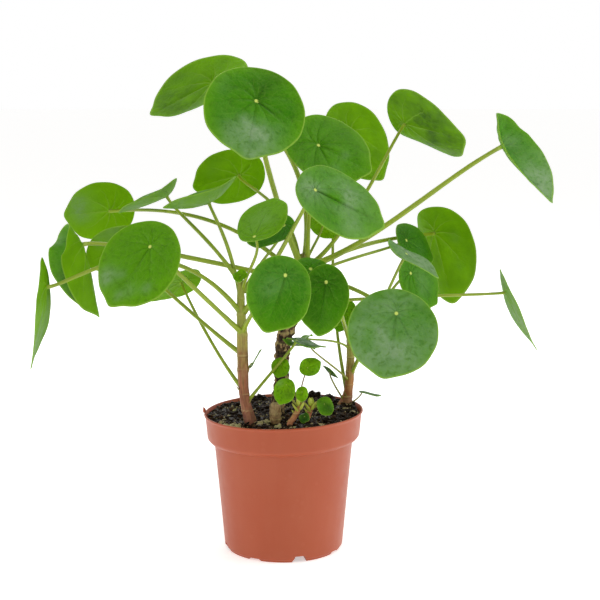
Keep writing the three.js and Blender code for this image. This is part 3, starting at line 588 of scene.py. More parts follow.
def ringed(rings, start, end):
    """Points and faces of rings joined by quads, with both ends closed to a point."""
    count, sides = rings.shape[:2]
    points = np.concatenate([rings.reshape(-1, 3), [start, end]])
    side = np.arange(sides)
    after = (side + 1) % sides
    faces = []
    for ring in range(count - 1):
        low, high = ring * sides, (ring + 1) * sides
        faces.append(np.stack([low + side, low + after, high + after, high + side], -1))
    quads = np.concatenate(faces)
    last = (count - 1) * sides
    first, final = count * sides, count * sides + 1
    caps = np.concatenate([
        np.stack([np.full(sides, first), after, side], -1),
        np.stack([np.full(sides, final), last + side, last + after], -1),
    ])
    return points, quads.tolist() + caps.tolist()


def new_mesh(name, points, faces, materials, values=None, slots=None):
    """A smooth mesh object in metres from points in millimetres, with values stored at its points."""
    mesh = bpy.data.meshes.new(name)
    mesh.from_pydata(np.asarray(points) * MM, [], faces)
    for material in materials:
        mesh.materials.append(material)
    for key, value in (values or {}).items():
        value = np.asarray(value, np.float32)
        vector = value.ndim == 2
        attribute = mesh.attributes.new(key, "FLOAT_VECTOR" if vector else "FLOAT", "POINT")
        attribute.data.foreach_set("vector" if vector else "value", value.ravel())
    if slots is not None:
        mesh.polygons.foreach_set("material_index", np.asarray(slots, np.int32))
    mesh.polygons.foreach_set("use_smooth", np.ones(len(mesh.polygons), bool))
    if mesh.validate():
        raise RuntimeError(f"{name} has faces that don't hold together")
    mesh.update()
    piece = bpy.data.objects.new(name, mesh)
    bpy.context.scene.collection.objects.link(piece)
    return piece


def combine(target, others, operation):
    """Joins closed pieces into the target, or cuts them out of it, and removes them."""
    group = bpy.data.collections.new("parts")
    bpy.context.scene.collection.children.link(group)
    for other in others:
        bpy.context.scene.collection.objects.unlink(other)
        group.objects.link(other)
    modifier = target.modifiers.new("combine", "BOOLEAN")
    modifier.operation = operation
    modifier.operand_type = "COLLECTION"
    modifier.collection = group
    modifier.solver = "MANIFOLD"
    modifier.material_mode = "TRANSFER"
    with bpy.context.temp_override(object=target, active_object=target, selected_objects=[target]):
        bpy.ops.object.modifier_apply(modifier=modifier.name)
    for other in others:
        mesh = other.data
        bpy.data.objects.remove(other)
        bpy.data.meshes.remove(mesh)
    bpy.data.collections.remove(group)
    if not len(target.data.polygons):
        raise RuntimeError(f"{target.name} is empty after its parts were combined")
    target.data.polygons.foreach_set("use_smooth", np.ones(len(target.data.polygons), bool))
    return target


def place(piece, slot, *nodes):
    """The piece moves with the plant and stands for its nodes. Its slot is not used."""
    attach(piece, BODY)
    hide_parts(*nodes)
    return piece


def between(values, share):
    """A value between the entries of a list, for a share of its length."""
    return np.interp(share, np.linspace(0, 1, len(values)), values)


def unit(vector):
    return np.asarray(vector, float) / np.linalg.norm(vector)


# ---------------------------------------------------------------- curves and rods


def smooth_line(knots, count=200):
    """Points on a smooth line through the knots, as even steps of its length."""
    knots = np.asarray(knots, float)
    padded = np.concatenate([[2 * knots[0] - knots[1]], knots, [2 * knots[-1] - knots[-2]]])
    pieces = []
    for a, b, c, d in zip(padded, padded[1:], padded[2:], padded[3:]):
        gaps = [max(np.linalg.norm(q - p), 1e-4) ** 0.5 for p, q in ((a, b), (b, c), (c, d))]
        start = ((b - a) / gaps[0] - (c - a) / (gaps[0] + gaps[1]) + (c - b) / gaps[1]) * gaps[1]
        finish = ((c - b) / gaps[1] - (d - b) / (gaps[1] + gaps[2]) + (d - c) / gaps[2]) * gaps[1]
        t = np.linspace(0, 1, 40, endpoint=False)[:, None]
        cubic = 2 * b - 2 * c + start + finish
        square = -3 * b + 3 * c - 2 * start - finish
        pieces.append(b + start * t + square * t ** 2 + cubic * t ** 3)
    return even_steps(np.concatenate([*pieces, knots[-1:]]), count)


def arched_line(start, leave, arrive, end, count):
    """Points on a cubic arch that leaves start along leave and comes to end through arrive."""
    t = np.linspace(0, 1, 200)[:, None]
    left = 1 - t
    near_start = left ** 3 * start + 3 * left ** 2 * t * (start + leave)
    points = near_start + 3 * left * t ** 2 * arrive + t ** 3 * end
    return even_steps(points, count)


def even_steps(points, count):
    lengths = np.concatenate([[0], np.cumsum(np.linalg.norm(np.diff(points, axis=0), axis=1))])
    wanted = np.linspace(0, lengths[-1], count)
    return np.stack([np.interp(wanted, lengths, points[:, i]) for i in range(3)], -1)


def frames_along(line):
    """Two directions square to the line at each of its points, turned as little as can be."""
    tangents = np.gradient(line, axis=0)
    tangents /= np.linalg.norm(tangents, axis=1)[:, None]
    helper = np.eye(3)[np.abs(tangents[0]).argmin()]
    first = unit(np.cross(np.cross(tangents[0], helper), tangents[0]))
    sides = []
    for tangent in tangents:
        first = unit(first - tangent * (first @ tangent))
        sides.append(first)
    sides = np.array(sides)
    return sides, np.cross(tangents, sides)


def rod(line, radius, sides, relief=None):
    """A closed rod along a line, with the place on its skin: around, along and share of the length."""
    across, up = frames_along(line)
    turn = np.linspace(0, 2 * math.pi, sides, endpoint=False)
    spokes = np.cos(turn)[None, :, None] * across[:, None] + np.sin(turn)[None, :, None] * up[:, None]
    steps = np.linalg.norm(np.diff(line, axis=0), axis=1)
    along = np.concatenate([[0], np.cumsum(steps)])
    radius = np.broadcast_to(np.asarray(radius, float)[:, None], (len(line), sides)).copy()
    skin = np.zeros((len(line), sides, 3))
    skin[..., 0] = turn[None] * radius.mean()
    skin[..., 1] = along[:, None]
    skin[..., 2] = along[:, None] / along[-1]
    surface = line[:, None] + spokes * radius[..., None]
    if relief is not None:
        surface += spokes * relief(surface, skin, 2 * math.pi * radius.mean())[..., None]
    points, faces = ringed(surface, line[0], line[-1])
    ends = np.array([[0, 0, 0], [0, along[-1], 1]])
    return points, faces, np.concatenate([skin.reshape(-1, 3), ends])


# ---------------------------------------------------------------- shader nodes


class Graph:
    """Adds nodes to one tree and joins them."""

    def __init__(self, tree):
        self.tree = tree

    def node(self, kind, *values, **settings):
        """A node with its settings, and a value or a socket for each of its inputs in order."""
        made = self.tree.nodes.new(kind)
        for key, value in settings.items():
            setattr(made, key, value)
        for socket, value in zip(made.inputs, values):
            self.put(socket, value)
        return made

    def put(self, socket, value):
        if isinstance(value, bpy.types.NodeSocket):
            self.tree.links.new(value, socket)
        elif value is not None:
            if isinstance(value, tuple) and socket.type == "RGBA":
                value = (*value[:3], 1)
            socket.default_value = value

    def put_all(self, node, **values):
        """Fills inputs by name, with an underscore for each space."""
        for key, value in values.items():
            self.put(node.inputs[key.replace("_", " ")], value)
        return node.outputs

    def math(self, operation, *values, clamp=False):
        return self.node("ShaderNodeMath", *values, operation=operation, use_clamp=clamp).outputs[0]

    def times(self, value, factor):
        return self.math("MULTIPLY", value, factor)

    def plus(self, value, more, clamp=False):
        return self.math("ADD", value, more, clamp=clamp)

    def vector(self, operation, *values):
        made = self.node("ShaderNodeVectorMath", *values, operation=operation)
        return made.outputs["Value" if operation in ("LENGTH", "DOT_PRODUCT") else "Vector"]

    def scaled(self, vector, factors):
        return self.vector("MULTIPLY", vector, factors)

    def split(self, vector):
        return self.node("ShaderNodeSeparateXYZ", vector).outputs

    def mix(self, factor, first, second):
        made = self.node("ShaderNodeMix", data_type="RGBA")
        for index, value in ((0, factor), (6, first), (7, second)):
            self.put(made.inputs[index], value)
        return made.outputs[2]

    def cover(self, base, over, mask, most):
        """One colour laid over another where the mask is 1, by this share at most."""
        return self.mix(self.times(mask, most), base, over)

    def fade(self, value, low, high, start=0.0, end=1.0):
        """From start to end, smoothly, while the value goes from low to high."""
        made = self.node(
            "ShaderNodeMapRange", value, low, high, start, end, interpolation_type="SMOOTHSTEP"
        )
        return made.outputs[0]

    def noise(self, vector, scale, detail=3.0, roughness=0.55, distortion=0.0):
        made = self.node("ShaderNodeTexNoise")
        return self.put_all(
            made, Vector=vector, Scale=scale, Detail=detail, Roughness=roughness, Distortion=distortion
        )["Fac"]

    def cells(self, vector, scale, feature):
        """The distance within cells: to the middle of each, or to its edge."""
        made = self.node("ShaderNodeTexVoronoi", feature=feature)
        return self.put_all(made, Vector=vector, Scale=scale)["Distance"]

    def attribute(self, name, output="Fac"):
        made = self.node("ShaderNodeAttribute", attribute_name=name, attribute_type="GEOMETRY")
        return made.outputs[output]

    def effect(self, name, **values):
        """One of the shared effects, with its own values here."""
        group = bpy.data.node_groups.get(name) or EFFECTS[name]()
        return self.put_all(self.node("ShaderNodeGroup", node_tree=group), **values)

    def place(self):
        """The place on the piece in millimetres."""
        made = self.node("ShaderNodeTexCoord").outputs["Object"]
        return self.scaled(made, (1 / MM, 1 / MM, 1 / MM))


def new_effect(name, inputs, outputs):
    """An empty node group with its sockets, and the graph inside it."""
    tree = bpy.data.node_groups.new(name, "ShaderNodeTree")
    for label, kind, default in inputs:
        socket = tree.interface.new_socket(name=label, in_out="INPUT", socket_type="NodeSocket" + kind)
        if default is not None:
            socket.default_value = default
    for label in outputs:
        tree.interface.new_socket(name=label, in_out="OUTPUT", socket_type="NodeSocketFloat")
    graph = Graph(tree)
    return tree, graph, graph.node("NodeGroupInput").outputs, graph.node("NodeGroupOutput").inputs


def mottling_effect():
    """Soft patches at two sizes, from 0 to 1."""
    tree, g, given, made = new_effect(
        "Mottling", [("Vector", "Vector", None), ("Size", "Float", 1.0), ("Contrast", "Float", 1.0)],
        ["Patches", "Specks"],
    )
    scale = g.math("DIVIDE", 1.0, given["Size"])
    fine_scale = g.times(scale, SPECKS_PER_PATCH)
    sources = {
        "Patches": g.noise(given["Vector"], scale, detail=3.0, roughness=0.5, distortion=0.4),
        "Specks": g.noise(given["Vector"], fine_scale, detail=4.0, roughness=0.6),
    }
    for label, source in sources.items():
        spread = g.times(g.math("SUBTRACT", source, 0.5), given["Contrast"])
        g.put(made[label], g.plus(spread, 0.5, clamp=True))
    return tree


def grain_effect():
    """A fine uneven surface for bumps, and pits in it."""
    tree, g, given, made = new_effect(
        "Fine grain", [("Vector", "Vector", None), ("Size", "Float", 1.0)], ["Height", "Pits"]
    )
    scale = g.math("DIVIDE", 1.0, given["Size"])
    uneven = g.noise(given["Vector"], scale, detail=5.0, roughness=0.65)
    distance = g.cells(given["Vector"], g.times(scale, PIT_SPACING), "F1")
    pits = g.fade(distance, 0.08, 0.3, 1.0, 0.0)
    g.put(made["Height"], g.math("SUBTRACT", uneven, g.times(pits, PIT_DEPTH)))
    g.put(made["Pits"], pits)
    return tree


def fibre_effect():
    """Streaks that run along a stem or stalk, from its around, along and share coordinates."""
    tree, g, given, made = new_effect(
        "Fibre streaks", [("Skin", "Vector", None), ("Width", "Float", 0.5), ("Length", "Float", 8.0)],
        ["Streaks", "Height"],
    )
    parts = g.split(given["Skin"])
    across = g.math("DIVIDE", parts[0], given["Width"])
    down = g.math("DIVIDE", parts[1], given["Length"])
    place_on_skin = g.node("ShaderNodeCombineXYZ", across, down, 0.0).outputs[0]
    streaks = g.noise(place_on_skin, 1.0, detail=3.0, roughness=0.6, distortion=0.3)
    fine = g.noise(g.scaled(place_on_skin, (2.7, 1.6, 1.0)), 1.0, detail=4.0, roughness=0.7)
    g.put(made["Streaks"], g.fade(streaks, 0.32, 0.68))
    g.put(made["Height"], g.plus(streaks, g.times(fine, 0.4)))
    return tree


def vein_effect():
    """Veins that spread from the hub and arch to the tip, with their branches and the net between them.

    Blade holds the place on the leaf: right and ahead of the hub in millimetres, and the share of the way
    to the margin.
    """
    tree, g, given, made = new_effect(
        "Leaf veins",
        [("Blade", "Vector", None), ("Width", "Float", 0.55), ("Branch gap", "Float", 5.5),
         ("Hub size", "Float", 1.8)],
        ["Main", "Branches", "Net", "Hub", "Margin", "Height"],
    )
    gap = given["Branch gap"]
    parts = g.split(given["Blade"])
    share = parts[2]
    flat = g.scaled(given["Blade"], (1.0, 1.0, 0.0))
    reach = g.vector("LENGTH", flat)
    wander = g.noise(flat, VEINS["wander_scale"], detail=2.0)
    wander = g.times(g.math("SUBTRACT", wander, 0.5), VEINS["wander"])
    turn = g.math("ARCTAN2", parts[0], parts[1])
    arched = g.math("DIVIDE", turn, g.math("SUBTRACT", 1.0, g.times(share, VEINS["arch"])))
    arched = g.plus(arched, g.times(wander, share))
    distance = g.times(g.math("PINGPONG", arched, VEINS["spacing"] / 2), reach)
    width = g.times(given["Width"], g.fade(share, 0.0, 1.0, 1.0, VEINS["width_at_margin"]))
    main = g.fade(g.math("DIVIDE", distance, width), 0.3, 1.3, 1.0, 0.0)
    main = g.times(main, g.fade(share, 0.55, 0.95, 1.0, 0.0))
    step = g.math("SUBTRACT", reach, g.times(distance, VEINS["branch_slope"]))
    phase = g.plus(g.math("DIVIDE", step, gap), g.times(wander, 2.0))
    near = g.times(g.math("PINGPONG", phase, 0.5), gap)
    branch = g.times(g.fade(near, 0.1, 0.42, 1.0, 0.0), g.fade(share, 0.1, 0.3))
    branch = g.times(branch, g.fade(share, 0.75, 0.98, 1.0, 0.0))
    net = g.fade(g.cells(flat, VEINS["net_scale"], "DISTANCE_TO_EDGE"), 0.02, 0.12, 1.0, 0.0)
    raised = g.plus(main, g.times(branch, VEINS["branch_height"]))
    shapes = {
        "Main": main,
        "Branches": branch,
        "Net": net,
        "Hub": g.fade(g.math("DIVIDE", reach, given["Hub size"]), 0.5, 1.0, 1.0, 0.0),
        "Margin": g.fade(share, *VEINS["margin"]),
        "Height": g.plus(raised, g.times(net, VEINS["net_height"])),
    }
    for label, value in shapes.items():
        g.put(made[label], value)
    return tree


EFFECTS = {
    "Mottling": mottling_effect,
    "Fine grain": grain_effect,
    "Fibre streaks": fibre_effect,
    "Leaf veins": vein_effect,
}


def new_material(name):
    """A material with its graph, its Principled shader and its output."""
    material = bpy.data.materials.new(name)
    material.use_nodes = True
    tree = material.node_tree
    tree.nodes.clear()
    graph = Graph(tree)
    shader = graph.node("ShaderNodeBsdfPrincipled")
    output = graph.node("ShaderNodeOutputMaterial")
    tree.links.new(shader.outputs[0], output.inputs["Surface"])
    return material, graph, shader, output


def bump(graph, shader, height, depth_mm, strength):
    """Raises the shaded surface by a height from 0 to 1."""
    made = graph.node("ShaderNodeBump")
    graph.put_all(made, Strength=strength, Distance=depth_mm * MM, Height=height)
    graph.put(shader.inputs["Normal"], made.outputs[0])


def finish(graph, shader, colour, rough_by, rough_from, clamp=False):
    """Sets a shader's colour, and its roughness as a varied part on top of a fixed one."""
    graph.put(shader.inputs["Base Color"], colour)
    graph.put(shader.inputs["Roughness"], graph.plus(rough_by, rough_from, clamp=clamp))


def pot_material(colours):
    """Moulded plastic with flow marks down the wall, fine scuffs and dust low on the wall."""
    material, g, shader, _ = new_material("pot_plastic")
    here = g.place()
    broad = g.effect("Mottling", Vector=here, Size=38.0, Contrast=1.6)
    flow = g.effect("Mottling", Vector=g.scaled(here, (1.0, 1.0, 0.12)), Size=9.0, Contrast=1.5)
    grain = g.effect("Fine grain", Vector=here, Size=0.7)
    scuffs = g.effect("Fine grain", Vector=here, Size=9.0)
    dust = g.fade(g.split(here)[2], 0.0, 16.0, 0.18, 0.0)
    amount = g.plus(g.times(broad["Patches"], 0.45), g.times(flow["Patches"], 0.22))
    amount = g.plus(g.plus(amount, dust), g.times(g.fade(scuffs["Pits"], 0.7, 1.0), 0.15), clamp=True)
    colour = g.mix(amount, tuple(colours.plastic), tuple(colours.faded))
    colour = g.cover(colour, tint("plastic_speck"), g.fade(grain["Pits"], 0.85, 1.0), 0.12)
    finish(g, shader, colour, g.times(broad["Specks"], 0.16), colours.gloss - 0.08)
    shader.inputs["Specular IOR Level"].default_value = 0.38
    bump(g, shader, g.plus(grain["Height"], g.times(flow["Patches"], 1.2)), 0.05, 0.6)
    return material


def soil_material(colours):
    """Wet peat: near black, with brown fibres, pale crumbs and moss."""
    material, g, shader, _ = new_material("potting_soil")
    here = g.place()
    mark = g.attribute("tint")
    patches = g.effect("Mottling", Vector=here, Size=2.6, Contrast=2.2)
    grain = g.effect("Fine grain", Vector=here, Size=0.5)
    peat, fibre = tuple(colours.dark), tuple(colours.brown)
    dark = g.mix(0.55, g.mix(patches["Patches"], peat, fibre), peat)
    brown = g.mix(g.fade(mark, 0.15, 0.4), dark, fibre)
    pale = g.mix(patches["Specks"], tuple(colours.pale), fibre)
    green = g.mix(patches["Specks"], tuple(colours.moss), tuple(colours.pale))
    colour = g.mix(g.fade(mark, 0.5, 0.75), brown, pale)
    colour = g.mix(g.fade(mark, -0.6, -0.3, 1.0, 0.0), colour, green)
    wet = g.plus(g.times(patches["Specks"], 0.5), 0.2)
    finish(g, shader, colour, wet, g.fade(mark, 0.3, 0.8, 0.0, 0.25), clamp=True)
    shader.inputs["Specular IOR Level"].default_value = 0.06
    bump(g, shader, grain["Height"], 0.35, 0.9)
    return material


def stalk_material(colours):
    """Juicy green stalk with darker streaks, redder at its root and yellower at the blade."""
    material, g, shader, _ = new_material("leaf_stalk")
    skin = g.attribute("skin", "Vector")
    share = g.split(skin)[2]
    streaks = g.effect("Fibre streaks", Skin=skin, Width=0.6, Length=16.0)
    patches = g.effect("Mottling", Vector=g.place(), Size=14.0, Contrast=1.6)
    colour = g.cover(tuple(colours.stalk), tuple(colours.stalk_shade), streaks["Streaks"], 0.6)
    colour = g.cover(colour, tint("stalk_patch"), patches["Patches"], 0.35)
    colour = g.mix(g.fade(share, 0.0, 0.06, 0.4, 0.0), colour, tint("stalk_root"))
    colour = g.mix(g.attribute("tint"), colour, tint("stalk_brown"))
    colour = g.mix(g.fade(share, 0.965, 1.0, 0.0, 0.6), colour, tint("stalk_end"))
    finish(g, shader, colour, g.times(patches["Specks"], 0.2), 0.3)
    bump(g, shader, streaks["Height"], 0.18, 0.7)
    return material


def skin_material(name, colours):
    """The skin of a stem: one colour low down and another high up, with streaks, scars and scales."""
    look = SKINS[name]
    scales, banded = look.get("scales", 0.0), look.get("banded", 0.0)

    def chosen(key):
        """A colour of the settings by its name, or else one of the tints."""
        return tuple(getattr(colours, look[key])) if hasattr(colours, look[key]) else tint(look[key])

    material, g, shader, _ = new_material(name)
    skin, here = g.attribute("skin", "Vector"), g.place()
    height = g.split(here)[2]
    streaks = g.effect("Fibre streaks", Skin=skin, Width=1.1, Length=14.0)
    bands = g.effect("Fibre streaks", Skin=skin, Width=3.6, Length=45.0)
    patches = g.effect("Mottling", Vector=here, Size=9.0, Contrast=2.2)
    fine = g.effect("Fine grain", Vector=here, Size=0.8)
    ragged = g.plus(g.times(patches["Patches"], RAGGED), height)
    ragged = g.math("SUBTRACT", ragged, RAGGED / 2)
    up = g.fade(ragged, *look["turns"])
    base = g.mix(up, chosen("low"), chosen("high"))
    if "root" in look:
        base = g.mix(g.fade(ragged, *ROOT_HEIGHTS, 0.85, 0.0), base, chosen("root"))
    pale_bands = g.times(bands["Streaks"], g.fade(height, 112.0, 150.0, 0.2 * banded, banded))
    base = g.mix(pale_bands, base, g.mix(0.55, chosen("high"), tuple(colours.scar)))
    bare = g.math("SUBTRACT", 1.0, g.times(up, 0.6))
    streaked = g.times(g.times(streaks["Streaks"], 0.35 + look.get("streaky", 0.15)), bare)
    base = g.mix(streaked, base, g.mix(0.7, base, tint("streak")))
    base = g.cover(base, g.mix(0.45, base, tint("fleck")), patches["Specks"], 0.25)
    scale_tone, scaly = g.attribute("tone"), g.times(bare, scales)
    base = g.cover(base, tuple(colours.bark_pale), g.fade(scale_tone, 0.05, 0.5), scaly)
    base = g.cover(base, tint("bark_gap"), g.fade(scale_tone, 0.0, -0.7), scaly)
    scar = g.attribute("scar")
    base = g.mix(g.fade(scar, 0.0, 1.0, 0.0, 0.4), base, tuple(colours.scar))
    # Painted shadow under the ring of each leaf scar
    base = g.mix(g.fade(scar, 0.0, -1.0, 0.0, 0.55), base, tint("scar_shadow"))
    finish(g, shader, base, g.times(fine["Height"], 0.25), 0.38 + 0.4 * scales)
    shader.inputs["Specular IOR Level"].default_value = 0.25
    relief = g.plus(streaks["Height"], g.times(fine["Height"], 0.5 + scales))
    bump(g, shader, relief, 0.25 + 0.4 * scales, 0.8)
    return material


def stipule_material():
    """Thin yellow green leaflets with a brown tip."""
    material, g, shader, _ = new_material("stipule")
    skin = g.attribute("skin", "Vector")
    streaks = g.effect("Fibre streaks", Skin=skin, Width=0.4, Length=7.0)
    colour = g.cover(tint("stipule"), tint("stipule_streak"), streaks["Streaks"], 0.5)
    colour = g.mix(g.fade(g.split(skin)[2], 0.82, 1.0, 0.0, 0.7), colour, tint("stipule_tip"))
    colour = g.mix(g.attribute("tint"), colour, tint("stipule_brown"))
    finish(g, shader, colour, g.times(streaks["Streaks"], 0.15), 0.4)
    bump(g, shader, streaks["Height"], 0.15, 0.7)
    return material


def blade_material(age, face, colours):
    """One face of a leaf blade: veins, hub, margin, mottled green, painted sheen and shade, gloss and light
    through it.
    """
    upper = face == "upper"
    look = {**FACE_LOOKS[face], **AGE_LOOKS[age]}
    material, g, shader, output = new_material(f"{age}_{face}")
    blade = g.attribute("blade", "Vector")
    share = g.split(blade)[2]
    on_blade = g.vector("ADD", blade, g.scaled(g.place(), (0.15, 0.15, 0.15)))
    veins = g.effect(
        "Leaf veins", Blade=blade, Width=look["vein_width"] * look["vein_share"], Hub_size=look["hub_size"]
    )
    patches = g.effect("Mottling", Vector=on_blade, Size=16.0, Contrast=2.0)
    wrinkles = g.effect("Mottling", Vector=on_blade, Size=look["wrinkle_size"], Contrast=2.4)
    grain = g.effect("Fine grain", Vector=on_blade, Size=1.1)
    light, deep = (tuple(getattr(colours, face + end)) for end in ("", "_deep"))
    yellow, vein = tuple(colours.young), tuple(colours.vein)
    if age == "young_leaf":
        light, deep = yellow, light
    colour = g.mix(patches["Patches"], light, deep)
    colour = g.cover(colour, g.mix(0.5, colour, vein), patches["Specks"], 0.12)
    tone, bloom = g.attribute("tone"), g.attribute("bloom")
    colour = g.mix(g.fade(tone, 0.0, 1.0, 0.0, 0.7), colour, yellow)
    colour = g.mix(g.fade(tone, 0.0, -1.0, 0.0, 0.8), colour, tint(look["blue"]))
    colour = g.mix(g.fade(share, 0.7, 1.0, 0.0, 0.22), colour, yellow)
    # Painted sheen in uneven pale grey green patches, and below 0 painted shade in a deep green
    uneven_sheen_and_shade = g.plus(g.times(wrinkles["Patches"], 0.7), 0.5)
    uneven_sheen_and_shade = g.plus(uneven_sheen_and_shade, g.times(wrinkles["Specks"], 0.3))
    colour = g.cover(colour, tuple(colours.bloom), g.fade(bloom, 0.0, 1.0, 0.0, 0.8), uneven_sheen_and_shade)
    colour = g.cover(colour, tint("painted_shade_green"), g.fade(bloom, 0.0, -1.0, 0.0, 0.75), uneven_sheen_and_shade)
    if upper:
        # Painted shade in the grooves of the main veins, most near the hub, and along the creases
        groove = g.times(veins["Main"], g.fade(share, 0.02, 0.6, 0.2, 0.04))
        groove = g.math("MAXIMUM", groove, g.times(g.attribute("crease"), 0.7))
        colour = g.mix(groove, colour, tint("groove"))
        # Painted shade in the hollows of the wrinkles, where their bump is low
        folds = g.fade(wrinkles["Patches"], 0.42, 0.1, 0.0, look["folds"])
        colour = g.cover(colour, tint("wrinkle_shade"), folds, g.fade(share, 0.1, 0.3))
        layers = (("Branches", 0.12, vein), ("Net", 0.07, vein))
    else:
        layers = (("Main", 0.42, vein), ("Branches", 0.22, deep), ("Net", 0.12, deep))
    layers += (("Margin", 0.6, vein), ("Hub", look["hub_shine"], tuple(colours.hub)))
    for label, most, over in layers:
        colour = g.cover(colour, over, veins[label], most)
    finish(g, shader, colour, g.times(patches["Specks"], 0.16), look["dull"])
    shader.inputs["Specular IOR Level"].default_value = look["specular"]
    shader.inputs["Specular Tint"].default_value = SPECULAR_TINT
    relief = g.plus(g.times(veins["Height"], look["vein_rise"]), g.times(wrinkles["Patches"], 1.6))
    bump(g, shader, g.plus(relief, g.times(grain["Height"], 0.35)), 0.22, 0.8)
    glow = g.node("ShaderNodeBsdfTranslucent", g.mix(0.5, colour, tint("light_through")))
    blend = g.node("ShaderNodeMixShader", look["through"], shader.outputs[0], glow.outputs[0])
    g.put(output.inputs["Surface"], blend.outputs[0])
    return material


# ---------------------------------------------------------------- pot


def lean(points):
    """The thin rim stands a little higher on the right, in step with the height."""
    points = points.copy()
    points[..., 2] += POT["rim_lean"] * points[..., 0] * points[..., 2] / POT["height"]
    return points


def rounded_profile(profile, radius, steps=4):
    """The profile with each of its corners turned into a short arc."""
    profile = np.asarray(profile, float)
    made = [profile[:1]]
    for before, corner, after in zip(profile, profile[1:], profile[2:]):
        back, ahead = before - corner, after - corner
        reach = min(radius, 0.45 * np.linalg.norm(back), 0.45 * np.linalg.norm(ahead))
        start, end = corner + unit(back) * reach, corner + unit(ahead) * reach
        t = np.linspace(0, 1, steps)[:, None]
        made.append((1 - t) ** 2 * start + 2 * (1 - t) * t * corner + t ** 2 * end)
    made.append(profile[-1:])
    return np.concatenate(made)


def finer_profile(profile, longest):
    """The profile with points added, so that no step of it is longer than asked."""
    made = [profile[:1]]
    for start, end in zip(profile, profile[1:]):
        count = max(1, math.ceil(np.linalg.norm(end - start) / longest))
        made.append(start + (end - start) * np.linspace(0, 1, count + 1)[1:, None])
    return np.concatenate(made)


def pot_profile():
    """The pot's outline from the middle of its underside, round the wall, to the middle of its floor."""
    wall, rim, top, lip = POT["wall"], POT["rim_radius"], POT["height"], POT["lip_height"]
    foot, pad, under = POT["foot_radius"], POT["centre_pad_radius"], POT["floor_underside"]
    ring, slope, edge = foot - POT["foot_ring_width"], POT["underside_slope"], POT["rim_edge"]
    shoulder, shoulder_top = POT["shoulder_radius"], POT["shoulder_height"]
    collar, collar_foot = POT["collar_foot_radius"], POT["collar_foot_height"]
    body, body_foot = POT["body_foot_radius"], POT["body_foot_height"]
    floor_top = under + POT["floor_thickness"]
    return [
        (0, 0),
        (pad, 0),
        (pad + slope, under),
        (ring - slope, under),
        (ring, 0),
        (foot, 0),
        (foot + 0.1, body_foot - 0.6),
        (body, body_foot),
        (shoulder, shoulder_top),
        (shoulder + 3, shoulder_top + 0.9),
        (collar - 0.5, collar_foot - 1.2),
        (collar, collar_foot),
        (rim - POT["lip_overhang"], top - lip),
        (rim, top - 0.8),
        (rim - edge, top),
        (rim - wall + edge, top),
        (rim - wall - POT["lip_overhang"], top - lip),
        (collar - wall, collar_foot + wall / 2),
        (shoulder - wall / 2, shoulder_top + wall),
        (shoulder - wall, shoulder_top),
        (body - wall, floor_top),
        (0, floor_top),
    ]


def turned(profile, segments):
    """A closed solid turned round the upright axis from a profile that starts and ends on it."""
    profile = np.asarray(profile, float)
    turn = np.linspace(0, 2 * math.pi, segments, endpoint=False)
    ring = np.stack([np.cos(turn), np.sin(turn)], -1)
    inner = profile[1:-1]
    rings = np.empty((len(inner), segments, 3))
    rings[..., :2] = inner[:, None, :1] * ring[None]
    rings[..., 2] = inner[:, None, 1]
    return rings, (0, 0, profile[0, 1]), (0, 0, profile[-1, 1])


def notch(index, material):
    """A wedge across the foot ring that lets water out."""
    high = NOTCHES["tall"] if index % 2 == 0 else NOTCHES["low"]
    half, narrow, below = NOTCHES["bottom_width"] / 2, NOTCHES["top_width"] / 2, -0.3
    outline = [(-half, below), (half, below), (narrow, high), (-narrow, high)]
    angle = math.radians(NOTCHES["first_angle"] + index * 360 / NOTCHES["count"])
    out = np.array([math.cos(angle), math.sin(angle), 0])
    side = np.array([-math.sin(angle), math.cos(angle), 0])
    points = [
        out * reach + side * across + np.array([0, 0, up])
        for reach in (NOTCHES["inner_radius"], NOTCHES["outer_radius"])
        for across, up in outline
    ]
    faces = [(3, 2, 1, 0), (4, 5, 6, 7)] + [(i, (i + 1) % 4, (i + 1) % 4 + 4, i + 4) for i in range(4)]
    return new_mesh(f"notch_{index}", points, faces, [material])


def rim_nub(material):
    """A small raised flap of flash on the left of the rim."""
    line = smooth_line(RIM_NUB["axis"], 12)
    points, faces, _ = rod(line, between(RIM_NUB["radius"], np.linspace(0, 1, 12)), 12)
    return new_mesh("rim_nub", points, faces, [material])


def build_pot(settings):
    material = pot_material(settings)
    profile = rounded_profile(pot_profile(), settings.lip_round / MM)
    points, faces = ringed(*turned(finer_profile(profile, 4.0), 180))
    turn = np.arctan2(points[:, 1], points[:, 0])
    spread = np.hypot(points[:, 0], points[:, 1])
    uneven = 0.12 * np.sin(3 * turn + 1) + 0.18 * value_noise(points, 30, 5)
    points[:, :2] *= (1 + uneven * (points[:, 2] / POT["height"]) / np.maximum(spread, 20))[:, None]
    pot = new_mesh("nursery_pot", points, faces, [material])
    combine(pot, [notch(i, material) for i in range(NOTCHES["count"])], "DIFFERENCE")
    co = np.empty(len(pot.data.vertices) * 3, np.float32)
    pot.data.vertices.foreach_get("co", co)
    moved = lean(co.reshape(-1, 3) / MM) * MM
    pot.data.vertices.foreach_set("co", moved.astype(np.float32).ravel())
    combine(pot, [rim_nub(material)], "UNION")
    crisp_edges(pot, 40)
    place(pot, "pot_plastic", "pot")


def crisp_edges(piece, degrees):
    """Shades the surface smooth, but keeps edges crisp where it turns more than this."""
    with bpy.context.temp_override(object=piece, active_object=piece, selected_objects=[piece],
                                   selected_editable_objects=[piece]):
        bpy.ops.object.shade_smooth_by_angle(angle=math.radians(degrees))


# ---------------------------------------------------------------- soil


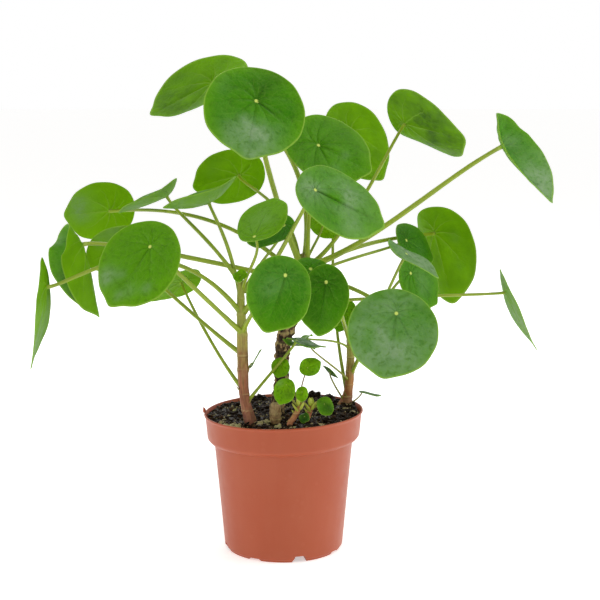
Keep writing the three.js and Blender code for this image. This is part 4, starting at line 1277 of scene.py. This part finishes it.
def soil_height(x, y):
    """The soil's level with its lumps: a fixed sum of waves, and heaps near the rim."""
    radius = np.hypot(x, y) / POT["rim_radius"]
    lumps = sum(size * np.sin(x * across + y * away + start) for size, across, away, start in SOIL["waves"])
    heaps = sum(
        height * np.exp(-((x - cx) ** 2 + (y - cy) ** 2) / (2 * (width / 2) ** 2))
        for cx, cy, height, width in SOIL_HEAPS
    )
    level = SOIL["level"] + SOIL["mound"] * (1 - radius ** 2)
    return level + SOIL["lump"] * SOIL["lump_share"] * lumps + heaps


def crumbs(settings):
    """Irregular crumbs: place, size and tint of each, drawn from one seed, and the listed marks."""
    rng = np.random.default_rng(settings.seed)
    count = settings.granules
    limit = POT["rim_radius"] - POT["wall"] - CRUMBS["from_wall"]
    radius = limit * np.sqrt(rng.uniform(0.0, 1.0, count))
    turn = rng.uniform(0, 2 * math.pi, count)
    size = settings.largest / MM * (0.3 + 0.7 * rng.uniform(0, 1, count) ** 2.2)
    is_brown = rng.uniform(0, 1, count) < CRUMBS["brown_share"]
    tones = np.where(is_brown, rng.uniform(0.25, 0.5, count), rng.uniform(-0.1, 0.15, count))
    is_pale = rng.uniform(0, 1, count) < CRUMBS["pale_share"]
    tones = np.where(is_pale, rng.uniform(0.6, 1.0, count), tones)
    size = np.where(is_pale, size * CRUMBS["pale_size"], size)
    tones = np.where(rng.uniform(0, 1, count) < CRUMBS["mossy_share"], CRUMBS["mossy"], tones)
    rows = [(r * math.cos(t), r * math.sin(t), s, v) for r, t, s, v in zip(radius, turn, size, tones)]
    for x, y, spread, pale in SOIL_MARKS:
        for _ in range(int(CRUMBS["per_mark"] * spread)):
            dx, dy = rng.normal(0, 0.5 * spread, 2)
            mark = rng.uniform(0.7, 1.0) if rng.uniform() < pale - 0.15 else CRUMBS["mossy"]
            rows.append((x + dx, y + dy, rng.uniform(0.9, 1.7), mark))
    return rows, rng


def crumb_mesh():
    """A ball of 42 points to shape each crumb from."""
    ball = bmesh.new()
    bmesh.ops.create_icosphere(ball, subdivisions=2, radius=1)
    points = np.array([v.co for v in ball.verts])
    faces = np.array([[v.index for v in f.verts] for f in ball.faces])
    ball.free()
    return points, faces


def crumb_points(ball, size, rng):
    """The ball made lumpy, stretched, and turned at random."""
    shape = ball * (1 + 0.3 * value_noise(ball * 1.3 + rng.uniform(0, 50, 3), 0.9, 3))[:, None]
    stretch = rng.uniform(0.55, 1.35, 3) * (1, 1, 0.8)
    turn, tilt = rng.uniform(0, 2 * math.pi), rng.uniform(-0.6, 0.6)
    ct, st, cu, su = math.cos(turn), math.sin(turn), math.cos(tilt), math.sin(tilt)
    turned_round = np.array([[ct, st, 0], [-st, ct, 0], [0, 0, 1]])
    tilted = np.array([[cu, 0, su], [0, 1, 0], [-su, 0, cu]])
    return shape * stretch * size @ turned_round @ tilted


def build_soil(settings):
    material = soil_material(settings)
    clear, level = POT["wall"] + SOIL["clearance"], SOIL["level"]
    side = [
        (0, SOIL["floor_height"]),
        (POT["body_foot_radius"] - clear, SOIL["floor_height"]),
        (POT["shoulder_radius"] - clear, POT["shoulder_height"] + SOIL["step"]),
        (POT["collar_foot_radius"] - clear - 0.3, POT["collar_foot_height"] + POT["wall"]),
        (POT["rim_radius"] - clear - 1.3, level - SOIL["edge_depth"]),
    ]
    edge = side[-1][0]
    top = [(edge * i / 60, level) for i in range(59, 0, -1)]
    rings, start, _ = turned([*side, *top, (0, level)], 200)
    surface = rings[len(side) - 1:]
    surface[..., 2] = soil_height(surface[..., 0], surface[..., 1])
    flat = surface * (1, 1, 0)
    surface[..., 2] += 0.8 * layered_noise(flat, 4.0, 11) + 0.45 * layered_noise(flat, 1.6, 21, 2)
    points, faces = ringed(rings, start, (0, 0, float(soil_height(0.0, 0.0))))
    points = lean(points)
    ball, ball_faces = crumb_mesh()
    rows, rng = crumbs(settings)
    all_points, all_tints = [points], [0.02 + 0.2 * layered_noise(points, 5.0, 31)]
    for x, y, size, mark in rows:
        shape = crumb_points(ball, size, rng)
        height = soil_height(x, y) + size * rng.uniform(-0.1, 0.55)
        all_points.append(lean(shape + (x, y, height)))
        all_tints.append(np.full(len(ball), mark))
    counts = np.arange(len(rows)) * len(ball) + len(points)
    faces += (ball_faces[None] + counts[:, None, None]).reshape(-1, 3).tolist()
    soil = new_mesh(
        "potting_soil", np.concatenate(all_points), faces, [material], {"tint": np.concatenate(all_tints)}
    )
    place(soil, "potting_soil", "soil")


# ---------------------------------------------------------------- stems and stalks


def bark_relief(name, depth):
    """How far the bark stands out at each point of a stem, in millimetres."""
    scale, cell, ridge = BARK[name]

    def relief(surface, skin, girth):
        around, along = skin[..., 0].ravel(), skin[..., 1].ravel()
        height = surface[..., 2].ravel()
        distance, tone = nearest_cells(around, along, girth, cell, len(name))
        raised = scale * (0.5 + 0.5 * tone) * np.clip(1.2 - distance, 0, 1)
        raised += ridge * layered_noise(surface.reshape(-1, 3) * (1, 1, 0.25), 1.8, 9)
        raised += 0.5 * scale * layered_noise(surface.reshape(-1, 3), 1.2, 13)
        turn = around / girth * 2 * math.pi
        for index, (level, stand, width) in enumerate(LEAF_SCARS[name]):
            arc = 0.35 + 0.65 * np.cos((turn - 2.4 * index) / 2) ** 2
            raised += stand * arc * np.exp(-(((height - level) / width) ** 2))
        raised -= raised.mean()
        return (depth * raised).reshape(surface.shape[:2])

    return relief


def bark_values(name, surface, skin, girth):
    """The tone of each bark scale, and how much each point lies on a leaf scar, or below 0 in its painted
    shadow.
    """
    around, along, height = skin[:, 0], skin[:, 1], surface[:, 2]
    distance, tone = nearest_cells(around, along, girth, BARK[name][1], len(name))
    turn = around / girth * 2 * math.pi
    scar = np.zeros(len(height))
    for index, (level, _, width) in enumerate(LEAF_SCARS[name]):
        arc = 0.25 + 0.75 * np.cos((turn - 2.4 * index) / 2) ** 2
        above = np.exp(-(((height - level - 0.4 * width) / (0.6 * width)) ** 2))
        below = np.exp(-(((height - level + 0.5 * width) / (0.35 * width)) ** 2))
        scar += arc * (above - below)
    return tone * np.clip(1.3 - distance, 0, 1), np.clip(scar, -1, 1)


def blade_axes(leaf):
    """The blade's own directions: across to the right, along to the tip, and up out of its upper face."""
    heading, rise = np.radians(leaf["faces"])
    up = np.array([math.sin(heading) * math.cos(rise), -math.cos(heading) * math.cos(rise), math.sin(rise)])
    downhill = unit(np.array([0, 0, -1]) + up * up[2])
    right = np.cross(-downhill, up)
    tip = math.radians(leaf["tip"])
    along = downhill * math.cos(tip) + right * math.sin(tip)
    return np.cross(along, up), along, up


def is_small(leaf):
    return leaf["size"][0] < BLADE["small_length"]


def hub_depth(leaf):
    """How deep the dimple over the stalk is."""
    return leaf["size"][0] / 90


def skin_values(skin, brown, tone=0.0, scar=0.0):
    """What each point of a rod's skin carries for its material."""
    flat = np.zeros(len(skin))
    return {"skin": skin, "tint": flat + brown, "tone": flat + tone, "scar": flat + scar}


def stalk_piece(leaf, material):
    """A leaf's stalk from inside the stem to the underside of the blade, with a flare where it joins."""
    up = blade_axes(leaf)[2]
    end = np.array(leaf["hub"], float) - up * (hub_depth(leaf) + 0.15)
    reach = leaf.get("reach", PETIOLE["small_reach"] if is_small(leaf) else PETIOLE["reach"])
    start = np.array(leaf["start"], float)
    steps = 28 if is_small(leaf) else 64
    line = arched_line(start, np.array(leaf["leave"], float), end - up * reach, end, steps)
    share = np.linspace(0, 1, steps)
    radius = leaf["stalk"] / 2 * between(PETIOLE["swell"], share)
    radius *= 1 + 0.25 * np.exp(-((1 - share) / 0.02) ** 2) + 0.22 * np.exp(-(share / 0.035) ** 2)
    seed = round(leaf["hub"][0] * 7 + leaf["hub"][2])

    def relief(surface, skin, girth):
        ridges = 0.05 * np.sin(5 * skin[..., 0] / (girth / (2 * math.pi)) + 0.02 * skin[..., 1])
        return leaf["stalk"] * (ridges * 0.35 + 0.03 * layered_noise(surface, 6.0, seed % 97))

    points, faces, skin = rod(line, radius, 14, relief)
    values = skin_values(skin, leaf.get("brown", 0))
    return new_mesh("stalk_" + leaf["name"], points, faces, [material], values)


def stipule_piece(foot, points_to, length, width, material, brown):
    """A small pointed leaflet, keeled along its middle and a little hollow."""
    way = unit(points_to)
    side = unit(np.cross(way, (0, 0, 1)))
    out = np.cross(side, way)
    share = np.linspace(0, 1, 14)
    line = np.array(foot) + way * (length * share)[:, None] + out * (0.12 * length * share ** 2)[:, None]
    half = width / 2 * np.maximum(np.sin(math.pi * np.clip(share * 0.86 + 0.14, 0, 1)) ** 0.8, 0.04)
    turn = np.linspace(0, 2 * math.pi, 16, endpoint=False)
    across = np.cos(turn)[None, :, None] * side
    cup = (np.cos(turn) ** 2)[None, :, None] * out * 0.28
    thick = np.sin(turn)[None, :, None] * out * 0.3
    rings = line[:, None] + half[:, None, None] * (across + cup) + thick * (0.6 + 0.4 * half[:, None, None])
    points, faces = ringed(rings, line[0], line[-1])
    skin = np.zeros((14, 16, 3))
    skin[..., 0] = np.cos(turn)[None] * half[:, None]
    skin[..., 1] = (length * share)[:, None]
    skin[..., 2] = share[:, None]
    skin = np.concatenate([skin.reshape(-1, 3), [[0, 0, 0], [0, length, 1]]])
    return new_mesh("stipule", points, faces, [material], skin_values(skin, brown))


def build_stems(names, colours):
    """The named stems. Those that have the same skin share its material."""
    stalk, stipule = stalk_material(colours), stipule_material()
    skins = {}
    for name in names:
        skin = STEM_PIECES[name][3]
        if skin not in skins:
            skins[skin] = skin_material(skin, colours)
        build_stem(name, colours.relief, skins[skin], stalk, stipule)


def build_stem(name, relief, skin, stalk, stipule):
    """One stem with its stalks and stipules as a single skin."""
    stem = STEMS[name]
    piece_name, node, slot, _ = STEM_PIECES[name]
    line = smooth_line(stem["axis"], 150)
    radius = between(stem["radius"], np.linspace(0, 1, len(line)))
    radius[-6:] *= np.sqrt(np.clip(1 - (np.arange(1, 7) / 6.2) ** 2, 0.03, 1))
    sides = 72 if radius.max() > 3 else 40
    points, faces, place_on_skin = rod(line, radius, sides, bark_relief(name, relief))
    tone, scar = bark_values(name, points, place_on_skin, 2 * math.pi * radius.mean())
    piece = new_mesh(piece_name, points, faces, [skin], skin_values(place_on_skin, 0, tone, scar))
    brown = 0.0 if name.startswith("shoot") else 0.7
    others = [stalk_piece(row, stalk) for row in LEAVES if row["stem"] == name]
    others += [stipule_piece(*row, stipule, brown) for row in STIPULES.get(name, [])]
    if others:
        combine(piece, others, "UNION")
    place(piece, slot, node)


# ---------------------------------------------------------------- leaf blades


def bend(points, direction, start, length, angle):
    """Rolls the part of the blade past a line up towards its upper face, without stretching it."""
    away, ahead = math.sin(math.radians(direction)), math.cos(math.radians(direction))
    x, y, z = np.moveaxis(points, -1, 0)
    past = x * away + y * ahead - start
    side = x * ahead - y * away
    curve = length / math.radians(angle)
    turned_by = math.radians(angle) * np.clip(past / length, 0, 1)
    straight = np.maximum(past - length, 0)
    reach = (curve - z) * np.sin(turned_by) + straight * np.cos(turned_by) + start
    lift = curve - (curve - z) * np.cos(turned_by) + straight * np.sin(turned_by)
    moved = np.stack([reach * away + side * ahead, reach * ahead - side * away, lift], -1)
    return np.where(past[..., None] > 0, moved, points)


def blade_relief(leaf, x, y, share, quilting):
    """Height of the creases along the veins, the swelling between them and the dimple at the hub."""
    spacing = VEINS["spacing"]
    turn = np.arctan2(x, y) / (1 - VEINS["arch"] * share)
    reach = np.hypot(x, y)
    size = leaf["size"][0] / 60
    swell = quilting * size * np.abs(np.sin(turn * math.pi / spacing)) * 4 * share * (1 - share)
    nearest = np.abs((turn + spacing / 2) % spacing - spacing / 2) * reach
    groove = -0.24 * size * np.exp(-((nearest / (0.9 * size + 0.2)) ** 2)) * (1 - share) ** 0.7
    midrib = np.where(y > 0, np.exp(-((x / (1.5 * size)) ** 2)) * (1 - share) ** 0.5, 0)
    dimple = -hub_depth(leaf) * np.exp(-((reach / (2.6 * size)) ** 2))
    place_on_leaf = np.stack([x, y, np.full_like(x, leaf["hub"][0] * 3.1)], -1)
    uneven = 0.5 * size * value_noise(place_on_leaf, 17 * size, 41) * share
    uneven += 0.12 * size * value_noise(place_on_leaf, 5 * size, 43) * share
    return swell + groove - 0.3 * size * midrib + dimple + uneven - 0.8 * size * creases_at(leaf, x, y)


def blade_points(leaf, share, turn, height, quilting):
    """Points of the blade: share of the way to the margin, and the angle round the hub in radians."""
    length, width = leaf["size"]
    from_tip = (np.degrees(turn) - 90 + 180) % 360 - 180
    point = BLADE["tip_point"] * length * np.exp(-((from_tip / BLADE["tip_width"]) ** 2))
    x = width / 2 * np.cos(turn)
    y = length / 2 * np.sin(turn) + (0.5 - leaf.get("hub_share", BLADE["hub_share"])) * length + point
    ragged = 1 + 0.006 * np.sin(5 * turn + length) + 0.004 * np.sin(11 * turn + width)
    x, y = x * share * ragged, y * share * ragged
    phase = BLADE["wave_turns"] * np.degrees(turn) + BLADE["wave_start"]
    phase = np.radians(phase + BLADE["wave_start_per_length"] * length)
    wave = leaf.get("wave", BLADE["wave"]) * share ** 3 * np.sin(phase)
    lift = leaf.get("dish", 0) * share ** 2 + wave + blade_relief(leaf, x, y, share, quilting)
    points = np.stack([x, y, lift + height], -1)
    for row in leaf.get("bends", []):
        points = bend(points, *row)
    return points, np.stack([x, y, share], -1)


def build_blade(leaf, settings, materials):
    """A closed blade with both its faces, thinner towards a rounded margin."""
    small = is_small(leaf)
    segments, steps = (48, 12) if small else (96, 26)
    flat_to = BLADE["flat_share"]
    inner = np.linspace(0, 1, steps + 1)[1:-1] ** 0.9 * flat_to
    shares = np.concatenate([inner, [flat_to, 0.992, 0.997, 1.0]])
    turn = np.linspace(0, 2 * math.pi, segments, endpoint=False)
    half = settings.thickness / MM / 2 * (BLADE["small_thickness"] if small else 1.0)
    taper = half * (1 - 0.3 * shares ** 2)
    rounded = np.sqrt(np.clip(1 - (np.clip(shares - flat_to, 0, 1) / (1 - flat_to)) ** 2, 0, 1))
    share, turn = np.meshgrid(shares, turn, indexing="ij")
    thick = (taper * rounded)[:, None]
    quilting = settings.quilting / MM
    under, place_under = blade_points(leaf, share, turn, -thick, quilting)
    upper, place_upper = blade_points(leaf, share[:-1], turn[:-1], thick[:-1], quilting)
    rings = np.concatenate([under, upper[::-1]])
    places = np.concatenate([place_under, place_upper[::-1]])
    centre = np.zeros(1)
    start, end = (blade_points(leaf, centre, centre, side, quilting)[0][0] for side in (-half, half))
    points, faces = ringed(rings, start, end)
    places = np.concatenate([places.reshape(-1, 3), np.zeros((2, 3))])
    points = points @ np.array(blade_axes(leaf)) + np.array(leaf["hub"], float)
    quads = (len(rings) - 1) * segments
    faced_up = (np.arange(quads) // segments >= len(shares) - 1).astype(int)
    slots = np.concatenate([faced_up, np.zeros(segments, int), np.ones(segments, int)])
    values = {
        "blade": places,
        "tone": np.full(len(points), leaf.get("tone", 0.0)),
        "bloom": painted_sheen_at(leaf, places),
        "crease": creases_at(leaf, places[:, 0], places[:, 1]),
    }
    piece = new_mesh("blade_" + leaf["name"], points, faces, materials, values, slots)
    place(piece, "young_leaf" if small else "leaf", "leaf_" + leaf["name"])


def creases_at(leaf, x, y):
    """How deep each point lies in one of the leaf's folds that set out from its hub, from 0 to 1."""
    reach, turn = np.hypot(x, y), np.degrees(np.arctan2(-x, y))
    total = np.zeros(np.shape(x))
    for direction, length, depth in leaf.get("creases", []):
        off = np.radians((turn - direction + 180) % 360 - 180)
        aside = reach * np.sin(np.clip(np.abs(off), 0, math.pi / 2))
        fading = np.clip(1 - reach / (length * leaf["size"][0]), 0, 1) ** 0.5
        ends = fading * np.clip(reach / CREASE["start"], 0, 1)
        total = np.maximum(total, depth * ends * np.exp(-((aside / CREASE["width"]) ** 2)))
    return total


def painted_sheen_at(leaf, places):
    """How much painted sheen each point has, up to 1, or below 0 how much painted shade deepens its green,
    down to -1.
    """
    length = leaf["size"][0]
    total = np.zeros(len(places))
    for right, ahead, width, amount in leaf.get("bloom", []):
        away = np.hypot(places[:, 0] + right * length, places[:, 1] - ahead * length) / (width * length)
        total += amount * np.exp(-(away ** 2))
    ragged = value_noise(np.stack([places[:, 0], places[:, 1], np.full(len(places), length)], -1), 9.0, 61)
    return np.clip(total * (1 + 0.45 * ragged), -1, 1)


# ---------------------------------------------------------------- operators


class PILEA_OT_pot(Operator):
    """Builds the nursery pot"""

    bl_idname = "pilea.pot"
    bl_label = "Pot"

    def execute(self, context):
        build_pot(context.scene.pilea_pot)
        return {"FINISHED"}


class PILEA_OT_soil(Operator):
    """Fills the pot with soil"""

    bl_idname = "pilea.soil"
    bl_label = "Soil"

    def execute(self, context):
        build_soil(context.scene.pilea_soil)
        return {"FINISHED"}


class PILEA_OT_stems(Operator):
    """Grows the three main stems with their leaf stalks"""

    bl_idname = "pilea.stems"
    bl_label = "Main stems"

    def execute(self, context):
        build_stems(("left", "middle", "right"), context.scene.pilea_stems)
        return {"FINISHED"}


class PILEA_OT_shoots(Operator):
    """Grows the two young shoots and the dry stump"""

    bl_idname = "pilea.shoots"
    bl_label = "Shoots and stump"

    def execute(self, context):
        build_stems(("shoot_front", "shoot_right", "stump"), context.scene.pilea_stems)
        return {"FINISHED"}


class PILEA_OT_leaves(Operator):
    """Grows the leaf blades"""

    bl_idname = "pilea.leaves"
    bl_label = "Leaves"

    def execute(self, context):
        settings = context.scene.pilea_leaves
        faces = {
            age: [blade_material(age, face, settings) for face in ("under", "upper")] for age in AGE_LOOKS
        }
        for row in LEAVES:
            build_blade(row, settings, faces["young_leaf" if is_small(row) else "leaf"])
        return {"FINISHED"}


class PILEA_OT_stage(Operator):
    """Sets the floor, the light and the camera"""

    bl_idname = "pilea.stage"
    bl_label = "Stage"

    def execute(self, context):
        build_stage(context.scene, context.scene.pilea_stage)
        return {"FINISHED"}


# ---------------------------------------------------------------- stage


# The soft lights: place and width in metres, and share of the key light's power
LAMPS = [
    ("soft_box_above", (0.85, -0.2, 1.55), 1.3, 1.0),
    ("soft_box_front", (-0.2, -1.4, 1.25), 0.8, 0.45),
    ("soft_box_left", (-1.5, -0.25, 0.45), 0.9, 0.5),
    ("soft_box_right", (1.5, -0.15, 0.4), 0.9, 0.5),
    ("soft_box_back", (-0.1, 1.4, 1.1), 1.2, 0.9),
]
LAMP_TARGET = (0, 0, 0.2)


def build_stage(scene, settings):
    floor_finish, g, shader, _ = new_material("pale_floor")
    patches = g.effect("Mottling", Vector=g.place(), Size=160.0, Contrast=0.6)
    g.put(shader.inputs["Base Color"],
          g.cover(tuple(settings.floor), tint("floor_patch"), patches["Patches"], 0.04))
    shader.inputs["Roughness"].default_value = 0.9
    shader.inputs["Specular IOR Level"].default_value = 0.1
    shader.inputs["Emission Color"].default_value = WHITE
    shader.inputs["Emission Strength"].default_value = settings.glow
    corners = [(-FLOOR_REACH, -FLOOR_REACH, 0), (FLOOR_REACH, -FLOOR_REACH, 0),
               (FLOOR_REACH, FLOOR_REACH, 0), (-FLOOR_REACH, FLOOR_REACH, 0)]
    floor = new_mesh("studio_floor", corners, [(0, 1, 2, 3)], [floor_finish])

    world = bpy.data.worlds.new("soft room")
    world.use_nodes = True
    world.node_tree.nodes.clear()
    g = Graph(world.node_tree)
    around = g.split(g.node("ShaderNodeTexCoord").outputs["Generated"])
    room = g.plus(g.fade(around[2], -0.3, 0.9, 0.8, 1.3), g.fade(around[1], -0.9, 0.6, -0.25, 0.3))
    room = g.node("ShaderNodeBackground", WHITE, g.times(room, settings.sky)).outputs[0]
    white = g.node("ShaderNodeBackground", WHITE, 1.0).outputs[0]
    seen = g.node("ShaderNodeLightPath").outputs["Is Camera Ray"]
    blend = g.node("ShaderNodeMixShader", seen, room, white)
    g.node("ShaderNodeOutputWorld", blend.outputs[0])
    scene.world = world

    for name, position, size, share in LAMPS:
        light = bpy.data.lights.new(name, "AREA")
        light.shape = "DISK"
        light.size = size
        light.energy = settings.key * share
        lamp = bpy.data.objects.new(name, light)
        scene.collection.objects.link(lamp)
        lamp.location = position
        x, y, z = np.array(LAMP_TARGET) - np.array(position)
        lamp.rotation_euler = (math.atan2(math.hypot(x, y), -z), 0, math.atan2(-x, y))

    camera = bpy.data.cameras.new("camera")
    camera.sensor_width = 36
    camera.lens = settings.lens
    camera.clip_start, camera.clip_end = 0.05, 100
    viewer = bpy.data.objects.new("camera", camera)
    scene.collection.objects.link(viewer)
    viewer.location = settings.camera
    viewer.rotation_euler = (math.radians(90) - settings.pitch, 0, 0)
    scene.camera = viewer
    scene.view_settings.view_transform = "Standard"
    scene.view_settings.look = "None"


class PILEA_PT_sidebar(Panel):
    """Lists the plant's pieces and their settings"""

    bl_idname = "PILEA_PT_sidebar"
    bl_label = "Potted Pilea"
    bl_space_type = "VIEW_3D"
    bl_region_type = "UI"
    bl_category = "Pilea"

    def draw(self, context):
        for key, operators in STEPS.items():
            box = self.layout.box()
            settings = getattr(context.scene, key)
            for name in settings.__annotations__:
                box.prop(settings, name)
            for operator in operators:
                box.operator(operator.bl_idname)


SETTINGS = {
    "pilea_pot": PotSettings,
    "pilea_soil": SoilSettings,
    "pilea_stems": StemSettings,
    "pilea_leaves": LeafSettings,
    "pilea_stage": StageSettings,
}
STEPS = {
    "pilea_pot": [PILEA_OT_pot],
    "pilea_soil": [PILEA_OT_soil],
    "pilea_stems": [PILEA_OT_stems, PILEA_OT_shoots],
    "pilea_leaves": [PILEA_OT_leaves],
    "pilea_stage": [PILEA_OT_stage],
}
CLASSES = [*SETTINGS.values(), *(step for steps in STEPS.values() for step in steps), PILEA_PT_sidebar]


def register():
    for cls in CLASSES:
        bpy.utils.register_class(cls)
    for key, group in SETTINGS.items():
        setattr(bpy.types.Scene, key, PointerProperty(type=group))


def unregister():
    for key in SETTINGS:
        delattr(bpy.types.Scene, key)
    for cls in reversed(CLASSES):
        bpy.utils.unregister_class(cls)


def write_sizes():
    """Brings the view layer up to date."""
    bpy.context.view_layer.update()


def main():
    register()
    for operator in (
        bpy.ops.pilea.pot, bpy.ops.pilea.soil, bpy.ops.pilea.stems, bpy.ops.pilea.shoots,
        bpy.ops.pilea.leaves, bpy.ops.pilea.stage,
    ):
        operator()
    write_sizes()


if __name__ == "__main__":
    main()
